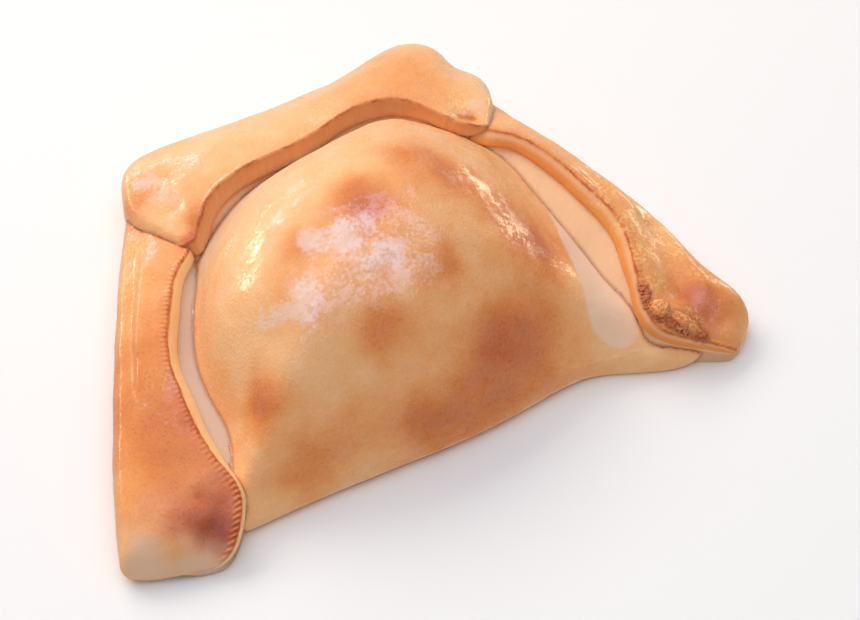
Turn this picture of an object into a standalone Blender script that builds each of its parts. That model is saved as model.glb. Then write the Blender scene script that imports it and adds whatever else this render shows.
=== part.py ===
"""A baked turnover: dough folded over its filling, sealed, and its rim turned over on three sides.

All sizes are in millimetres and are written to the scene in metres. +X runs along the long folded edge,
+Y from that edge to the short back edge, and +Z is up. The turnover rests on z = 0, with its box centred
on the origin.
"""

import math

import bmesh
import bpy
import numpy as np
from mathutils import Matrix, Vector

MM = 0.001  # the scene is in metres
TINY = 1e-6  # keeps two corners that meet from dividing by zero

# ---- driving dimensions ----
HEIGHT = 44.0  # top of the puffed middle above the tray
APEX = (2.0, -12.0)  # the plan point that the dome's rings close on
DOME_CEILING = 45.5  # the height that the puffed skin levels off towards
LEVEL_OFF = 2.4  # how late and how suddenly it levels off
EDGE_HEIGHT = 3.0  # height of the body's widest line above the tray
BASE_ROUND = 2.6  # how far the flat base stands in from that line
BASE_TURNS = (0, 30, 60, 90)  # places of the rings round that edge, in degrees
SKIRT_HEIGHT = 5.0  # the sealed dough that reaches under the flaps, before its edge rounds off
WIDE_SKIRT = 6.0  # from this width on it has that height
SKIRT_FALL = 6  # how suddenly it rounds off
FLAP_LIFT = 0.3  # a flap's outer fold sits this far above the tray
LIP_ROUND = 0.5  # rounding of the browned lip along a flap's inner edge
LAYER_NOTCH = 0.5  # how far the upper layer of a flap's cut edge overhangs the lower one
LAYER_DROP = 0.7  # height of that overhang

# ---- a flap's cross-section, from its outer fold in to the lip ----
FOLD_BASE = (4.0, 1.2)  # how far in its underside starts, and the width and height of the round below
FOLD_WIDEST = 0.45  # height of the outer fold's furthest point, as a share of the crown's
FOLD_SHOULDER = (1.5, 0.82)  # in from the fold, and height as a share of the crown's
CROWN_IN = 5.0  # where the flap first reaches its crown's height
SLOPE_POINTS = ((0.45, 0.52), (0.72, 0.80))  # shares of the width, and of the way from crown to lip
LIP_SHELF = (2.0, 0.3)  # the slope ends this far before the lip and this far under it
LIP_EDGE = 0.7  # width of the lip's highest part
CUT_MIDDLE = (0.5, 0.45)  # a point of the upper layer's cut edge, as shares of its step and its drop
FACE_MIDDLE = (0.72, 0.42)  # a point of the lower layer's face, as shares of its reach and its height
HIDDEN_POINTS = (0.5, 3.0, 4.0, 4.5, 2.0)  # the section's run back to the fold, inside the body

# ---- resolution of the faceted solid ----
BODY_COLUMNS = 80
FINE_COLUMNS = 320  # samples of the foot line that the height of the dome is worked out from
DOME_ROWS = 14
SKIRT_SHARES = (0.4, 0.8, 0.94)  # places of the rings between the foot line and the edge
RING_CROWDING = 1.3  # how much closer together the dome's rings are towards the foot, up to half of pi
SECTION_STEPS = 2  # points for each span of a flap's cross-section
FLAP_RIBS = 34
SHARP_ANGLE = 50.0  # edges that turn by more than this stay sharp
CLOSEST = 0.05  # the least distance from the foot line that the height of the dome is worked out at
END_CROWDING = 0.75  # how much closer together the ribs are at a flap's ends, from 0 to 1

CRUST_COLOUR = (0.78, 0.42, 0.16, 1.0)
CRUST_ROUGHNESS = 0.38

# The body, going round from the right: foot x, y, z, where the dome meets a flap or the tray, the slope in
# degrees that it rises at there, how much steeper it grows above that, and the x, y of the body's outer
# edge, which shows only along the front.
BODY_STATIONS = (
    (57.0, -33.0, 9.2, 26.0, 1.6, 70.0, -34.0),
    (55.6, -21.5, 10.8, 28.0, 1.6, 68.0, -21.0),
    (53.8, -9.5, 12.2, 30.0, 1.5, 65.0, -9.0),
    (52.0, 1.5, 13.4, 34.0, 1.2, 61.0, 4.0),
    (49.2, 10.2, 14.8, 42.0, 0.6, 56.5, 18.0),
    (43.6, 17.2, 16.6, 50.0, 0.0, 50.0, 32.0),
    (37.4, 24.6, 16.8, 54.0, 0.0, 44.0, 46.0),
    (28.5, 32.6, 15.8, 55.0, 0.0, 32.0, 52.5),
    (17.0, 35.2, 14.8, 55.0, 0.0, 18.0, 53.5),
    (4.0, 34.2, 13.6, 54.0, 0.0, 3.0, 53.5),
    (-10.5, 32.0, 13.0, 52.0, 0.1, -13.0, 53.0),
    (-21.5, 27.5, 12.0, 50.0, 0.3, -29.0, 48.0),
    (-30.5, 20.3, 11.5, 52.0, 0.3, -40.0, 34.0),
    (-36.0, 11.5, 10.8, 60.0, 0.0, -48.5, 18.0),
    (-41.5, 1.0, 9.8, 64.0, 0.0, -55.0, 3.0),
    (-45.5, -10.0, 9.0, 64.0, 0.0, -62.0, -11.5),
    (-47.2, -22.0, 8.0, 60.0, 0.0, -67.0, -25.0),
    (-48.0, -34.0, 7.0, 54.0, 0.2, -69.5, -38.0),
    (-53.0, -48.0, 5.6, 50.0, 0.3, -58.0, -51.0),
    (-44.6, -51.4, 5.4, 54.0, 0.2, -45.4, -52.6),
    (-31.0, -51.5, 6.2, 62.0, 0.0, -31.3, -52.3),
    (-14.0, -52.1, 6.4, 67.0, 0.0, -14.0, -52.6),
    (4.0, -52.3, 6.4, 68.0, 0.0, 4.0, -52.8),
    (20.0, -51.0, 6.4, 64.0, 0.0, 20.0, -51.5),
    (33.4, -49.2, 6.3, 54.0, 0.2, 33.8, -49.8),
    (45.6, -50.8, 6.2, 40.0, 0.8, 46.6, -52.2),
    (58.5, -49.0, 7.4, 26.0, 1.4, 66.0, -56.0),
)

# Each flap's ribs, from one end to the other: the outer fold x, y and its crown height, the inner lip x, y
# and z, how far the upper layer's cut edge slopes out and down from the lip, how far the lower layer reaches
# past that, and the height where it meets the body.
LEFT_RIBS = (
    (-40.5, 45.0, 9.6, -29.4, 27.0, 12.6, 1.0, 3.0, 1.0, 9.0),
    (-44.0, 38.0, 10.6, -33.8, 18.2, 15.4, 1.1, 3.0, 2.3, 11.0),
    (-49.5, 27.0, 12.0, -38.7, 12.9, 17.0, 1.3, 3.2, 3.8, 11.5),
    (-54.0, 17.5, 12.8, -42.6, 7.3, 17.0, 1.7, 3.4, 4.8, 11.0),
    (-59.5, 5.0, 13.0, -48.7, -4.2, 16.5, 2.0, 3.6, 4.7, 10.5),
    (-64.5, -6.5, 13.0, -51.5, -13.2, 16.0, 2.2, 3.6, 5.6, 10.0),
    (-69.0, -17.5, 12.6, -52.0, -21.2, 15.5, 2.4, 3.6, 5.3, 9.5),
    (-73.4, -28.5, 12.2, -52.7, -29.8, 15.0, 2.3, 3.6, 5.8, 9.0),
    (-76.4, -37.0, 11.8, -52.1, -37.1, 14.0, 2.1, 3.6, 4.9, 8.5),
    (-78.6, -43.5, 11.0, -51.0, -42.3, 13.0, 1.6, 3.6, 3.0, 8.0),
    (-80.0, -48.0, 9.8, -50.1, -47.6, 12.0, 1.0, 3.5, 0.8, 6.5),
    (-80.6, -51.0, 8.0, -52.4, -53.6, 9.4, 0.3, 3.0, -1.4, 3.5),
    (-79.0, -53.8, 5.0, -58.4, -60.2, 4.6, 0.2, 1.5, -1.6, 1.5),
)
RIGHT_RIBS = (
    (56.5, 37.0, 12.0, 40.0, 20.0, 22.0, 2.0, 2.5, 0.8, 18.0),
    (58.6, 29.8, 13.0, 45.3, 14.0, 23.0, 2.6, 2.6, 1.2, 18.5),
    (60.4, 23.2, 13.5, 49.6, 10.0, 23.0, 1.8, 3.0, 4.0, 17.0),
    (63.0, 15.1, 14.0, 52.9, 4.2, 23.0, 2.0, 3.4, 5.9, 16.0),
    (66.4, 6.4, 14.4, 55.9, -2.8, 22.0, 2.3, 3.2, 7.4, 15.0),
    (69.6, -2.8, 14.5, 58.1, -11.0, 21.0, 2.5, 3.0, 8.1, 14.0),
    (72.4, -12.6, 14.5, 59.9, -18.3, 20.0, 2.6, 3.0, 8.3, 13.0),
    (74.8, -21.9, 14.3, 60.3, -25.6, 19.0, 2.6, 3.0, 7.6, 12.0),
    (75.9, -30.7, 13.6, 58.4, -32.9, 18.0, 2.4, 3.2, 5.4, 11.0),
    (77.0, -37.2, 12.8, 56.6, -38.6, 17.0, 1.8, 3.5, 3.0, 9.5),
    (79.3, -43.4, 12.0, 54.8, -44.6, 15.0, 1.6, 3.5, 0.8, 8.0),
    (80.8, -47.8, 11.2, 54.6, -49.6, 13.6, 1.0, 3.5, 0.4, 5.0),
    (81.1, -50.9, 10.0, 56.6, -52.6, 11.6, 0.6, 3.0, -0.6, 5.0),
    (80.2, -53.8, 8.0, 64.2, -56.8, 8.6, 0.4, 2.5, -1.8, 3.0),
    (77.4, -57.4, 6.0, 71.6, -60.8, 6.0, 0.3, 1.5, -1.6, 1.5),
)
TOP_RIBS = (
    (-41.6, 33.0, 14.6, -36.0, 20.0, 16.4, 0.6, 3.0, 0.4, 11.0),
    (-42.0, 41.0, 14.0, -32.2, 19.0, 17.0, 1.6, 3.6, 1.2, 11.5),
    (-40.2, 48.6, 13.4, -30.2, 21.0, 18.0, 2.2, 4.0, 1.8, 12.5),
    (-36.6, 55.6, 12.6, -28.2, 23.2, 19.4, 2.6, 4.4, 2.0, 12.5),
    (-30.0, 58.0, 13.0, -25.4, 26.4, 20.4, 2.4, 4.6, 2.0, 12.8),
    (-20.0, 58.2, 13.6, -19.0, 30.0, 21.2, 1.8, 4.6, 1.6, 13.6),
    (-8.0, 57.8, 13.8, -9.0, 32.2, 21.5, 1.4, 4.8, 1.0, 14.0),
    (4.0, 57.6, 14.0, 0.6, 32.6, 22.0, 1.2, 4.8, 0.8, 14.8),
    (15.0, 58.0, 14.4, 8.6, 33.6, 23.0, 1.0, 5.0, 0.8, 15.4),
    (26.0, 58.8, 15.0, 17.3, 35.3, 24.0, 1.0, 5.0, 0.8, 16.0),
    (36.0, 60.8, 16.0, 25.6, 33.8, 25.0, 1.0, 5.0, 0.6, 16.8),
    (45.4, 61.0, 16.4, 30.8, 30.0, 25.5, 0.8, 4.6, 0.6, 17.8),
    (51.4, 55.6, 16.2, 34.6, 24.4, 25.6, 0.6, 4.2, 0.6, 18.6),
    (53.2, 47.4, 16.2, 37.8, 19.6, 25.2, 0.6, 3.8, 0.5, 19.0),
    (56.6, 42.0, 16.4, 40.6, 17.0, 24.6, 0.5, 3.4, 0.5, 18.6),
    (56.8, 35.6, 17.0, 44.4, 15.2, 23.8, 0.4, 2.4, 0.4, 17.0),
    (54.0, 27.6, 18.6, 48.6, 16.4, 22.4, 0.3, 1.6, 0.3, 15.0),
)

# How a flap's two ends are rounded off: over which length, and how square the end is in plan and in height.
END_ROUND = 4.0
END_SQUARENESS = (4.0, 2.2)
TUCK_HEIGHT = 0.4  # the height that a lower flap's end closes on, as a share of the crown's
TONGUE_HEIGHT = 0.75  # the same for the top flap's ends, which lie on the other flaps

# Low swellings of the skin, where it browned first, and hollows: x, y of the centre, radius and height.
DOME_BUMPS = (
    (22.0, 22.0, 10.0, 1.0),
    (6.0, 14.0, 10.0, 0.8),
    (-11.0, 8.0, 9.0, 0.8),
    (36.0, -8.0, 13.0, 1.0),
    (16.0, -10.0, 10.0, 0.6),
    (-6.0, -14.0, 11.0, -1.0),
    (-28.0, -20.0, 10.0, 0.8),
    (8.0, -36.0, 18.0, 0.8),
)

# Blisters where the dough burst at the lip of the right flap: x, y, z, the three radii, and the turn about Z
# and the tilt in degrees.
BLISTERS = (
    (57.8, -47.6, 14.2, 2.5, 2.3, 1.9, 0.0, -10.0),
    (62.7, -52.5, 10.7, 4.8, 1.9, 1.5, -53.0, -29.0),
)
BLISTER_SEGMENTS = 12

# Crimps pressed across the lip at the end of the left flap, from one rib share to another.
CRIMP_COUNT = 13
CRIMP_PLACES = 400  # samples of the ribs that the crimps' places are taken from
CRIMP_SPAN = (0.80, 0.975)
CRIMP_RADII = (2.4, 0.62, 0.7)
CRIMP_SET_IN = 1.6  # from the lip to a crimp's middle
CRIMP_SINK = 0.25  # how far its middle lies under the lip's height
CRIMP_SEGMENTS = 8


def spline(rows, places, closed=False):
    """Rows at places from 0 to 1, or at a number of even places, on the smooth curve through all rows."""
    if np.isscalar(places):
        places = np.linspace(0.0, 1.0, places, endpoint=not closed)
    rows = np.asarray(rows, float)
    if closed:
        rows = np.vstack([rows, rows[:1]])
    gaps = np.sqrt(np.linalg.norm(np.diff(rows, axis=0), axis=1))
    knots = np.concatenate([[0.0], np.cumsum(gaps)])
    bends = spline_bends(rows, gaps, closed)
    at = places * knots[-1]
    span = np.clip(np.searchsorted(knots, at, side="right") - 1, 0, len(gaps) - 1)
    h = gaps[span][:, None]
    b = (at - knots[span])[:, None] / h
    a = 1.0 - b
    return (
        a * rows[span]
        + b * rows[span + 1]
        + ((a**3 - a) * bends[span] + (b**3 - b) * bends[span + 1]) * h**2 / 6.0
    )


def spline_bends(rows, gaps, closed):
    """Second derivatives at a cubic spline's knots: natural at open ends, continuous round a closed one."""
    last = len(gaps)
    slopes = np.diff(rows, axis=0) / gaps[:, None]
    system = np.zeros((last + 1, last + 1))
    right = np.zeros_like(rows)
    for k in range(1, last):
        system[k, k - 1 : k + 2] = gaps[k - 1], 2 * (gaps[k - 1] + gaps[k]), gaps[k]
        right[k] = 6 * (slopes[k] - slopes[k - 1])
    system[0, 0] = system[last, last] = 1.0
    if closed:
        system[0, [0, 1, last - 1]] = 2 * (gaps[-1] + gaps[0]), gaps[0], gaps[-1]
        right[0] = 6 * (slopes[0] - slopes[-1])
        system[last, 0] = -1.0
    return np.linalg.solve(system, right)


def rounded_loop(points, steps):
    """A closed loop of points through a section's corners, (corner, rib, axis), for all ribs at once."""
    made = []
    total = len(points)
    for k in range(total):
        # a centripetal Catmull-Rom curve from p1 to p2
        p0, p1, p2, p3 = (points[(k + j) % total] for j in (-1, 0, 1, 2))
        reach = [np.sqrt(np.linalg.norm(q - p, axis=-1)) + TINY for p, q in ((p0, p1), (p1, p2), (p2, p3))]
        u1, u2, u3 = (t[:, None] for t in np.cumsum(reach, axis=0))
        for s in range(steps):
            t = u1 + (u2 - u1) * s / steps
            a1 = p0 * (u1 - t) / u1 + p1 * t / u1
            a2 = p1 * (u2 - t) / (u2 - u1) + p2 * (t - u1) / (u2 - u1)
            a3 = p2 * (u3 - t) / (u3 - u2) + p3 * (t - u2) / (u3 - u2)
            b1 = a1 * (u2 - t) / u2 + a2 * t / u2
            b2 = a2 * (u3 - t) / (u3 - u1) + a3 * (t - u1) / (u3 - u1)
            made.append(b1 * (u2 - t) / (u2 - u1) + b2 * (t - u1) / (u2 - u1))
    return np.stack(made)


def lofted(name, rings, start, end):
    """A closed mesh object through rings of equally many points, closed at both ends by a fan to a pole."""
    ring_count, size = rings.shape[:2]
    verts = np.concatenate([rings.reshape(-1, 3), [start], [end]]) * MM
    faces = [
        (r * size + c, r * size + (c + 1) % size, (r + 1) * size + (c + 1) % size, (r + 1) * size + c)
        for r in range(ring_count - 1)
        for c in range(size)
    ]
    first, last = ring_count * size, ring_count * size + 1
    faces += [(first, (c + 1) % size, c) for c in range(size)]
    top = (ring_count - 1) * size
    faces += [(last, top + c, top + (c + 1) % size) for c in range(size)]
    mesh = bpy.data.meshes.new(name)
    mesh.from_pydata([tuple(v) for v in verts], [], faces)
    tidy_mesh(mesh)
    made = bpy.data.objects.new(name, mesh)
    bpy.context.scene.collection.objects.link(made)
    return made


def tidy_mesh(mesh):
    """Splits a mesh into triangles and turns all its faces outwards."""
    work = bmesh.new()
    work.from_mesh(mesh)
    bmesh.ops.remove_doubles(work, verts=work.verts, dist=0.01 * MM)
    bmesh.ops.triangulate(work, faces=work.faces)
    bmesh.ops.recalc_face_normals(work, faces=work.faces)
    work.to_mesh(mesh)
    work.free()


def dome_relief(x, y):
    """Height that the low swellings and hollows add at a place in plan."""
    rise = np.zeros_like(x)
    for cx, cy, radius, height in DOME_BUMPS:
        rise += height * np.exp(-((x - cx) ** 2 + (y - cy) ** 2) / (0.5 * radius**2))
    return rise


def dome_height(x, y, foot):
    """Height of the puffed skin at places inside the foot line, sampled as x, y, z, slope and shoulder."""
    step = np.linalg.norm(np.roll(foot[:, :2], -1, axis=0) - np.roll(foot[:, :2], 1, axis=0), axis=1) / 2
    away = np.hypot(x[..., None] - foot[:, 0], y[..., None] - foot[:, 1])
    pull = step / np.maximum(away, CLOSEST) ** 3
    base = (pull * foot[:, 2]).sum(axis=-1) / pull.sum(axis=-1)
    rise = np.sqrt(2 / (pull / np.tan(np.radians(foot[:, 3])) ** 2).sum(axis=-1))
    room = DOME_CEILING - base
    shoulder = (pull * foot[:, 4]).sum(axis=-1) / pull.sum(axis=-1)
    share = rise / room * (1 + shoulder * rise / room)
    return base + room * share / (1 + share**LEVEL_OFF) ** (1 / LEVEL_OFF)


def dome_rings(foot, fine_foot):
    """The puffed skin: rings from next to the apex out to the foot line, and the apex itself."""
    turns = np.linspace(0.0, RING_CROWDING, DOME_ROWS + 1)[:-1]
    shares = np.sin(turns) / math.sin(RING_CROWDING)
    plan = np.array(APEX) + shares[:, None, None] * (foot[:, :2] - APEX)
    x, y = plan[..., 0], plan[..., 1]
    skin = dome_height(x, y, fine_foot) + dome_relief(x, y) * (1 - shares[:, None] ** 6)
    skin += (HEIGHT - skin.max()) * (1 - shares[:, None] ** 2) ** 2
    rings = np.concatenate([plan, skin[..., None]], axis=2)
    return np.concatenate([rings[1:], foot[None, :, :3]]), rings[0, 0]


def make_body():
    """The filled middle: a dome on a low skirt of sealed dough, with a flat base."""
    rows = spline(BODY_STATIONS, BODY_COLUMNS, closed=True)
    foot, edge = rows[:, :5], rows[:, 5:]
    dome, apex = dome_rings(foot, spline(BODY_STATIONS, FINE_COLUMNS, closed=True)[:, :5])
    rings = list(dome)
    skirt = edge - foot[:, :2]
    wide = np.clip(np.linalg.norm(skirt, axis=1) / WIDE_SKIRT, 0, 1)
    for share in SKIRT_SHARES:
        low = EDGE_HEIGHT + (SKIRT_HEIGHT - EDGE_HEIGHT) * wide * (1 - share**SKIRT_FALL)
        height = foot[:, 2] + (low - foot[:, 2]) * share
        rings.append(np.column_stack([foot[:, :2] + skirt * share, height]))
    inward = np.array(APEX) - edge
    inward /= np.linalg.norm(inward, axis=1)[:, None]
    for turn in np.radians(BASE_TURNS):
        plan = edge + inward * BASE_ROUND * (1 - math.cos(turn))
        rings.append(np.column_stack([plan, np.full(len(plan), EDGE_HEIGHT * (1 - math.sin(turn)))]))
    return lofted("body", np.stack(rings), apex, (*edge.mean(axis=0), 0.0))


def flap_section(width, crown, lip, step, drop, reach, foot):
    """Corners of a flap's section, as distance in from the outer fold and height, for all its ribs."""
    zero = np.zeros_like(width)
    under = lip - drop - LAYER_DROP
    base_in, base_round = FOLD_BASE
    shoulder_in, shoulder_up = FOLD_SHOULDER
    (first_in, first_up), (second_in, second_up) = SLOPE_POINTS
    reach_share, deep, back, deeper, shallow = HIDDEN_POINTS
    corners = (
        (zero + base_in, zero + FLAP_LIFT),
        (zero + base_round, zero + FLAP_LIFT + base_round),
        (zero, FOLD_WIDEST * crown),
        (zero + shoulder_in, shoulder_up * crown),
        (zero + CROWN_IN, crown),
        (first_in * width, crown + first_up * (lip - crown)),
        (second_in * width, crown + second_up * (lip - crown)),
        (width - LIP_SHELF[0], lip - LIP_SHELF[1]),
        (width - LIP_EDGE, lip),
        (width, lip - LIP_ROUND),
        (width + CUT_MIDDLE[0] * step, lip - CUT_MIDDLE[1] * drop),
        (width + step, lip - drop),
        (width + step - LAYER_NOTCH, under),
        (width + step + FACE_MIDDLE[0] * reach, under - FACE_MIDDLE[1] * (lip - drop - foot)),
        (width + step + reach, foot),
        (width + step + reach_share * reach, foot - deep),
        (width - back, foot - deeper),
        (0.5 * width, zero + shallow),
    )
    return [np.stack(corner, axis=1) for corner in corners]


def end_scale(lengths, squareness):
    """Size of a flap's section near its two ends, from 0 at the very end to 1 along the middle."""
    near = np.clip(np.minimum(lengths, lengths[-1] - lengths) / END_ROUND, 0, 1)
    return (1 - (1 - near) ** squareness) ** (1 / squareness)


def flap_rings(ribs, end_height):
    """The rings of a flap's loft, one for each rib, with its rounded ends."""
    even = np.linspace(0.0, 1.0, FLAP_RIBS)
    rows = spline(ribs, even - END_CROWDING * np.sin(2 * math.pi * even) / (2 * math.pi))
    outer, crown, inner = rows[:, :2], rows[:, 2], rows[:, 3:5]
    across = inner - outer
    width = np.linalg.norm(across, axis=1)
    loop = rounded_loop(flap_section(width, crown, *rows[:, 5:].T), SECTION_STEPS)
    middle = np.stack([0.5 * width, end_height * crown], axis=1)
    walk = np.linalg.norm(np.diff(0.5 * (outer + inner), axis=0), axis=1)
    lengths = np.concatenate([[0.0], np.cumsum(walk)])
    scale = np.stack([end_scale(lengths, squareness) for squareness in END_SQUARENESS], axis=1)
    loop = middle + (loop - middle) * scale
    plan = outer + loop[:, :, :1] * (across / width[:, None])
    height = np.maximum(loop[:, :, 1:], FLAP_LIFT)
    rings = np.concatenate([plan, height], axis=2).transpose(1, 0, 2)
    poles = [np.append(outer[k] + middle[k, 0] * across[k] / width[k], middle[k, 1]) for k in (0, -1)]
    return rings[1:-1], poles


def make_flap(name, ribs, end_height):
    """One turned-over stretch of the sealed rim."""
    rings, poles = flap_rings(ribs, end_height)
    return lofted(name, rings, *poles)


def make_lump(name, centre, radii, segments, turn=0.0, tilt=0.0):
    """A small ellipsoid of dough, tilted up along X and then turned about Z."""
    mesh = bpy.data.meshes.new(name)
    work = bmesh.new()
    bmesh.ops.create_uvsphere(work, u_segments=segments, v_segments=segments // 2, radius=1.0)
    turned = Matrix.Rotation(turn, 4, "Z") @ Matrix.Rotation(-tilt, 4, "Y")
    place = Matrix.Translation(Vector(centre) * MM) @ turned
    size = Matrix.Diagonal((*(radius * MM for radius in radii), 1.0))
    bmesh.ops.transform(work, matrix=place @ size, verts=work.verts)
    work.to_mesh(mesh)
    work.free()
    made = bpy.data.objects.new(name, mesh)
    bpy.context.scene.collection.objects.link(made)
    return made


def make_crimps():
    """Short ridges across the lip of the left flap's end."""
    rows = spline(LEFT_RIBS, CRIMP_PLACES)
    made = []
    for k, share in enumerate(np.linspace(*CRIMP_SPAN, CRIMP_COUNT)):
        row = rows[int(share * (len(rows) - 1))]
        inwards = np.array([row[0] - row[3], row[1] - row[4]])
        inwards /= np.linalg.norm(inwards)
        centre = (*(row[3:5] + CRIMP_SET_IN * inwards), row[5] - CRIMP_SINK)
        turn = math.atan2(inwards[1], inwards[0])
        made.append(make_lump(f"crimp_{k}", centre, CRIMP_RADII, CRIMP_SEGMENTS, turn))
    return made


def fuse(name, main, others):
    """Joins the others to the main piece with one Boolean union, applied, and removes them."""
    joined = bpy.data.collections.new("fused")
    bpy.context.scene.collection.children.link(joined)
    for piece in others:
        bpy.context.scene.collection.objects.unlink(piece)
        joined.objects.link(piece)
    union = main.modifiers.new("fuse", "BOOLEAN")
    union.operation = "UNION"
    union.operand_type = "COLLECTION"
    union.collection = joined
    union.solver = "EXACT"
    graph = bpy.context.evaluated_depsgraph_get()
    mesh = bpy.data.meshes.new_from_object(main.evaluated_get(graph))
    keep_outer_shell(mesh)
    main.modifiers.clear()
    for piece in others:
        bpy.data.objects.remove(piece)
    bpy.data.collections.remove(joined)
    main.data = mesh
    main.name = mesh.name = name
    return main


def keep_outer_shell(mesh):
    """Keeps the largest connected shell, so that a pocket sealed between flaps and body is filled."""
    work = bmesh.new()
    work.from_mesh(mesh)
    bmesh.ops.triangulate(work, faces=work.faces)
    left, shells = set(work.faces), []
    while left:
        shell, edge_of_search = set(), [left.pop()]
        while edge_of_search:
            face = edge_of_search.pop()
            shell.add(face)
            near = {other for edge in face.edges for other in edge.link_faces} & left
            left -= near
            edge_of_search.extend(near)
        shells.append(shell)
    outer = max(shells, key=len)
    bmesh.ops.delete(work, geom=[face for face in work.faces if face not in outer], context="FACES")
    work.to_mesh(mesh)
    work.free()


def crust_material():
    """Egg-washed, evenly browned dough."""
    material = bpy.data.materials.new("baked_crust")
    material.use_nodes = True
    shader = material.node_tree.nodes["Principled BSDF"]
    shader.inputs["Base Color"].default_value = CRUST_COLOUR
    shader.inputs["Roughness"].default_value = CRUST_ROUGHNESS
    shader.inputs["Metallic"].default_value = 0.0
    return material


def main():
    for old in list(bpy.data.objects):
        bpy.data.objects.remove(old)
    flaps = [
        make_flap("left_flap", LEFT_RIBS, TUCK_HEIGHT),
        make_flap("right_flap", RIGHT_RIBS, TUCK_HEIGHT),
        make_flap("top_flap", TOP_RIBS, TONGUE_HEIGHT),
    ]
    blisters = []
    for k, row in enumerate(BLISTERS):
        blisters.append(make_lump(f"blister_{k}", row[:3], row[3:6], BLISTER_SEGMENTS, *np.radians(row[6:])))
    turnover = fuse("calzone", make_body(), flaps + blisters + make_crimps())
    turnover.data.materials.clear()
    turnover.data.materials.append(crust_material())
    turnover.data.shade_smooth()
    turnover.data.set_sharp_from_angle(angle=math.radians(SHARP_ANGLE))
    parts = bpy.data.collections.new("calzone")
    bpy.context.scene.collection.children.link(parts)
    bpy.context.scene.collection.objects.unlink(turnover)
    parts.objects.link(turnover)


main()
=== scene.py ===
import math

import bmesh
import bpy
import numpy as np
from mathutils import Euler, Matrix, Vector, kdtree, noise


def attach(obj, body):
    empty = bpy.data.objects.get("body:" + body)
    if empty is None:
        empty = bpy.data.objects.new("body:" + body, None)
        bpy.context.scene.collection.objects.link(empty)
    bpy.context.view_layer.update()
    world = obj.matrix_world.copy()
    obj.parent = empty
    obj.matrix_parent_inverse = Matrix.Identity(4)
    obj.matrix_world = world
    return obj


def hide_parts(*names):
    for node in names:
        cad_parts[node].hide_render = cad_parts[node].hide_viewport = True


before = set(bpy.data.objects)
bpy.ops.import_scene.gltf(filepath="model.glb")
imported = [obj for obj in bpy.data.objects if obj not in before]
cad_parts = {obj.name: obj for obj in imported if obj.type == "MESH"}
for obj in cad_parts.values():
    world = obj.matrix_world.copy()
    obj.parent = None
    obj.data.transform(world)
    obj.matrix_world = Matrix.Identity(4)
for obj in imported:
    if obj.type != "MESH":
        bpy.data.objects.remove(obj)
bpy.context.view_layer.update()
mm = 0.001  # tables are in millimetres, the scene is in metres
print("frame loaded")


# A socket of a node tree, so that shader and geometry maths reads as plain sums

class Wire:
    def __init__(self, graph, socket):
        self.graph = graph
        self.socket = socket

    def sibling(self, name):
        return Wire(self.graph, self.socket.node.outputs[name])

    def maths(self, operation, *values):
        return self.graph.add("ShaderNodeMath", {"operation": operation}, dict(enumerate(values)))

    def __add__(self, other):
        return self.maths("ADD", self, other)

    def __sub__(self, other):
        return self.maths("SUBTRACT", self, other)

    def __rsub__(self, other):
        return self.maths("SUBTRACT", other, self)

    def __mul__(self, other):
        return self.maths("MULTIPLY", self, other)

    def __truediv__(self, other):
        return self.maths("DIVIDE", self, other)

    def __rtruediv__(self, other):
        return self.maths("DIVIDE", other, self)

    def absolute(self):
        return self.maths("ABSOLUTE", self)

    def sine(self):
        return self.maths("SINE", self)

    def maximum(self, other):
        return self.maths("MAXIMUM", self, other)

    __radd__ = __add__
    __rmul__ = __mul__


class Graph:
    def __init__(self, tree):
        self.tree = tree
        tree.nodes.clear()

    # Any node: its type, its settings, which are set first, and the values or wires of its sockets
    def add(self, kind, settings=None, values=None, out=0):
        node = self.tree.nodes.new(kind)
        for name, value in (settings or {}).items():
            if name == "stops":
                fillRamp(node.color_ramp, value)
            else:
                setattr(node, name, value)
        for key, value in (values or {}).items():
            if isinstance(value, Wire):
                self.tree.links.new(value.socket, node.inputs[key])
            else:
                node.inputs[key].default_value = value
        return Wire(self, node.outputs[out]) if len(node.outputs) else node

    # Noise with bumps of about this size in millimetres, from 0 to 1
    def noise(self, place, size, detail=2.0, seed=0.0, stretch=None):
        if stretch:
            place = self.add("ShaderNodeVectorMath", {"operation": "MULTIPLY"}, {0: place, 1: stretch})
        values = {"Vector": place, "W": seed, "Scale": 1 / (size * mm), "Detail": detail}
        return self.add("ShaderNodeTexNoise", {"noise_dimensions": "4D"}, values)

    # 0 below low, 1 above high, and a smooth step between them
    def step(self, value, low, high):
        values = {"Value": value, "From Min": low, "From Max": high}
        return self.add("ShaderNodeMapRange", {"interpolation_type": "SMOOTHSTEP"}, values)

    def blend(self, factor, first, second, mode="MIX"):
        settings = {"data_type": "RGBA", "blend_type": mode}
        return self.add("ShaderNodeMix", settings, {0: factor, 6: first, 7: second}, out=2)


def fillRamp(ramp, stops):
    while len(ramp.elements) < len(stops):
        ramp.elements.new(1.0)
    for element, (position, colour) in zip(ramp.elements, stops):
        element.position = position
        element.color = (*colour, 1.0)


# Geometry Nodes: a tree with named inputs, and what puts it on an object

socketTypes = {int: "NodeSocketInt", float: "NodeSocketFloat"}


def geometryTree(name, inputs):
    tree = bpy.data.node_groups.new(name, "GeometryNodeTree")
    tree.interface.new_socket("Geometry", in_out="INPUT", socket_type="NodeSocketGeometry")
    for label, value in inputs.items():
        socket = tree.interface.new_socket(label, in_out="INPUT", socket_type=socketTypes[type(value)])
        socket.default_value = value
    tree.interface.new_socket("Geometry", in_out="OUTPUT", socket_type="NodeSocketGeometry")
    graph = Graph(tree)
    return graph, graph.add("NodeGroupInput")


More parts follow.
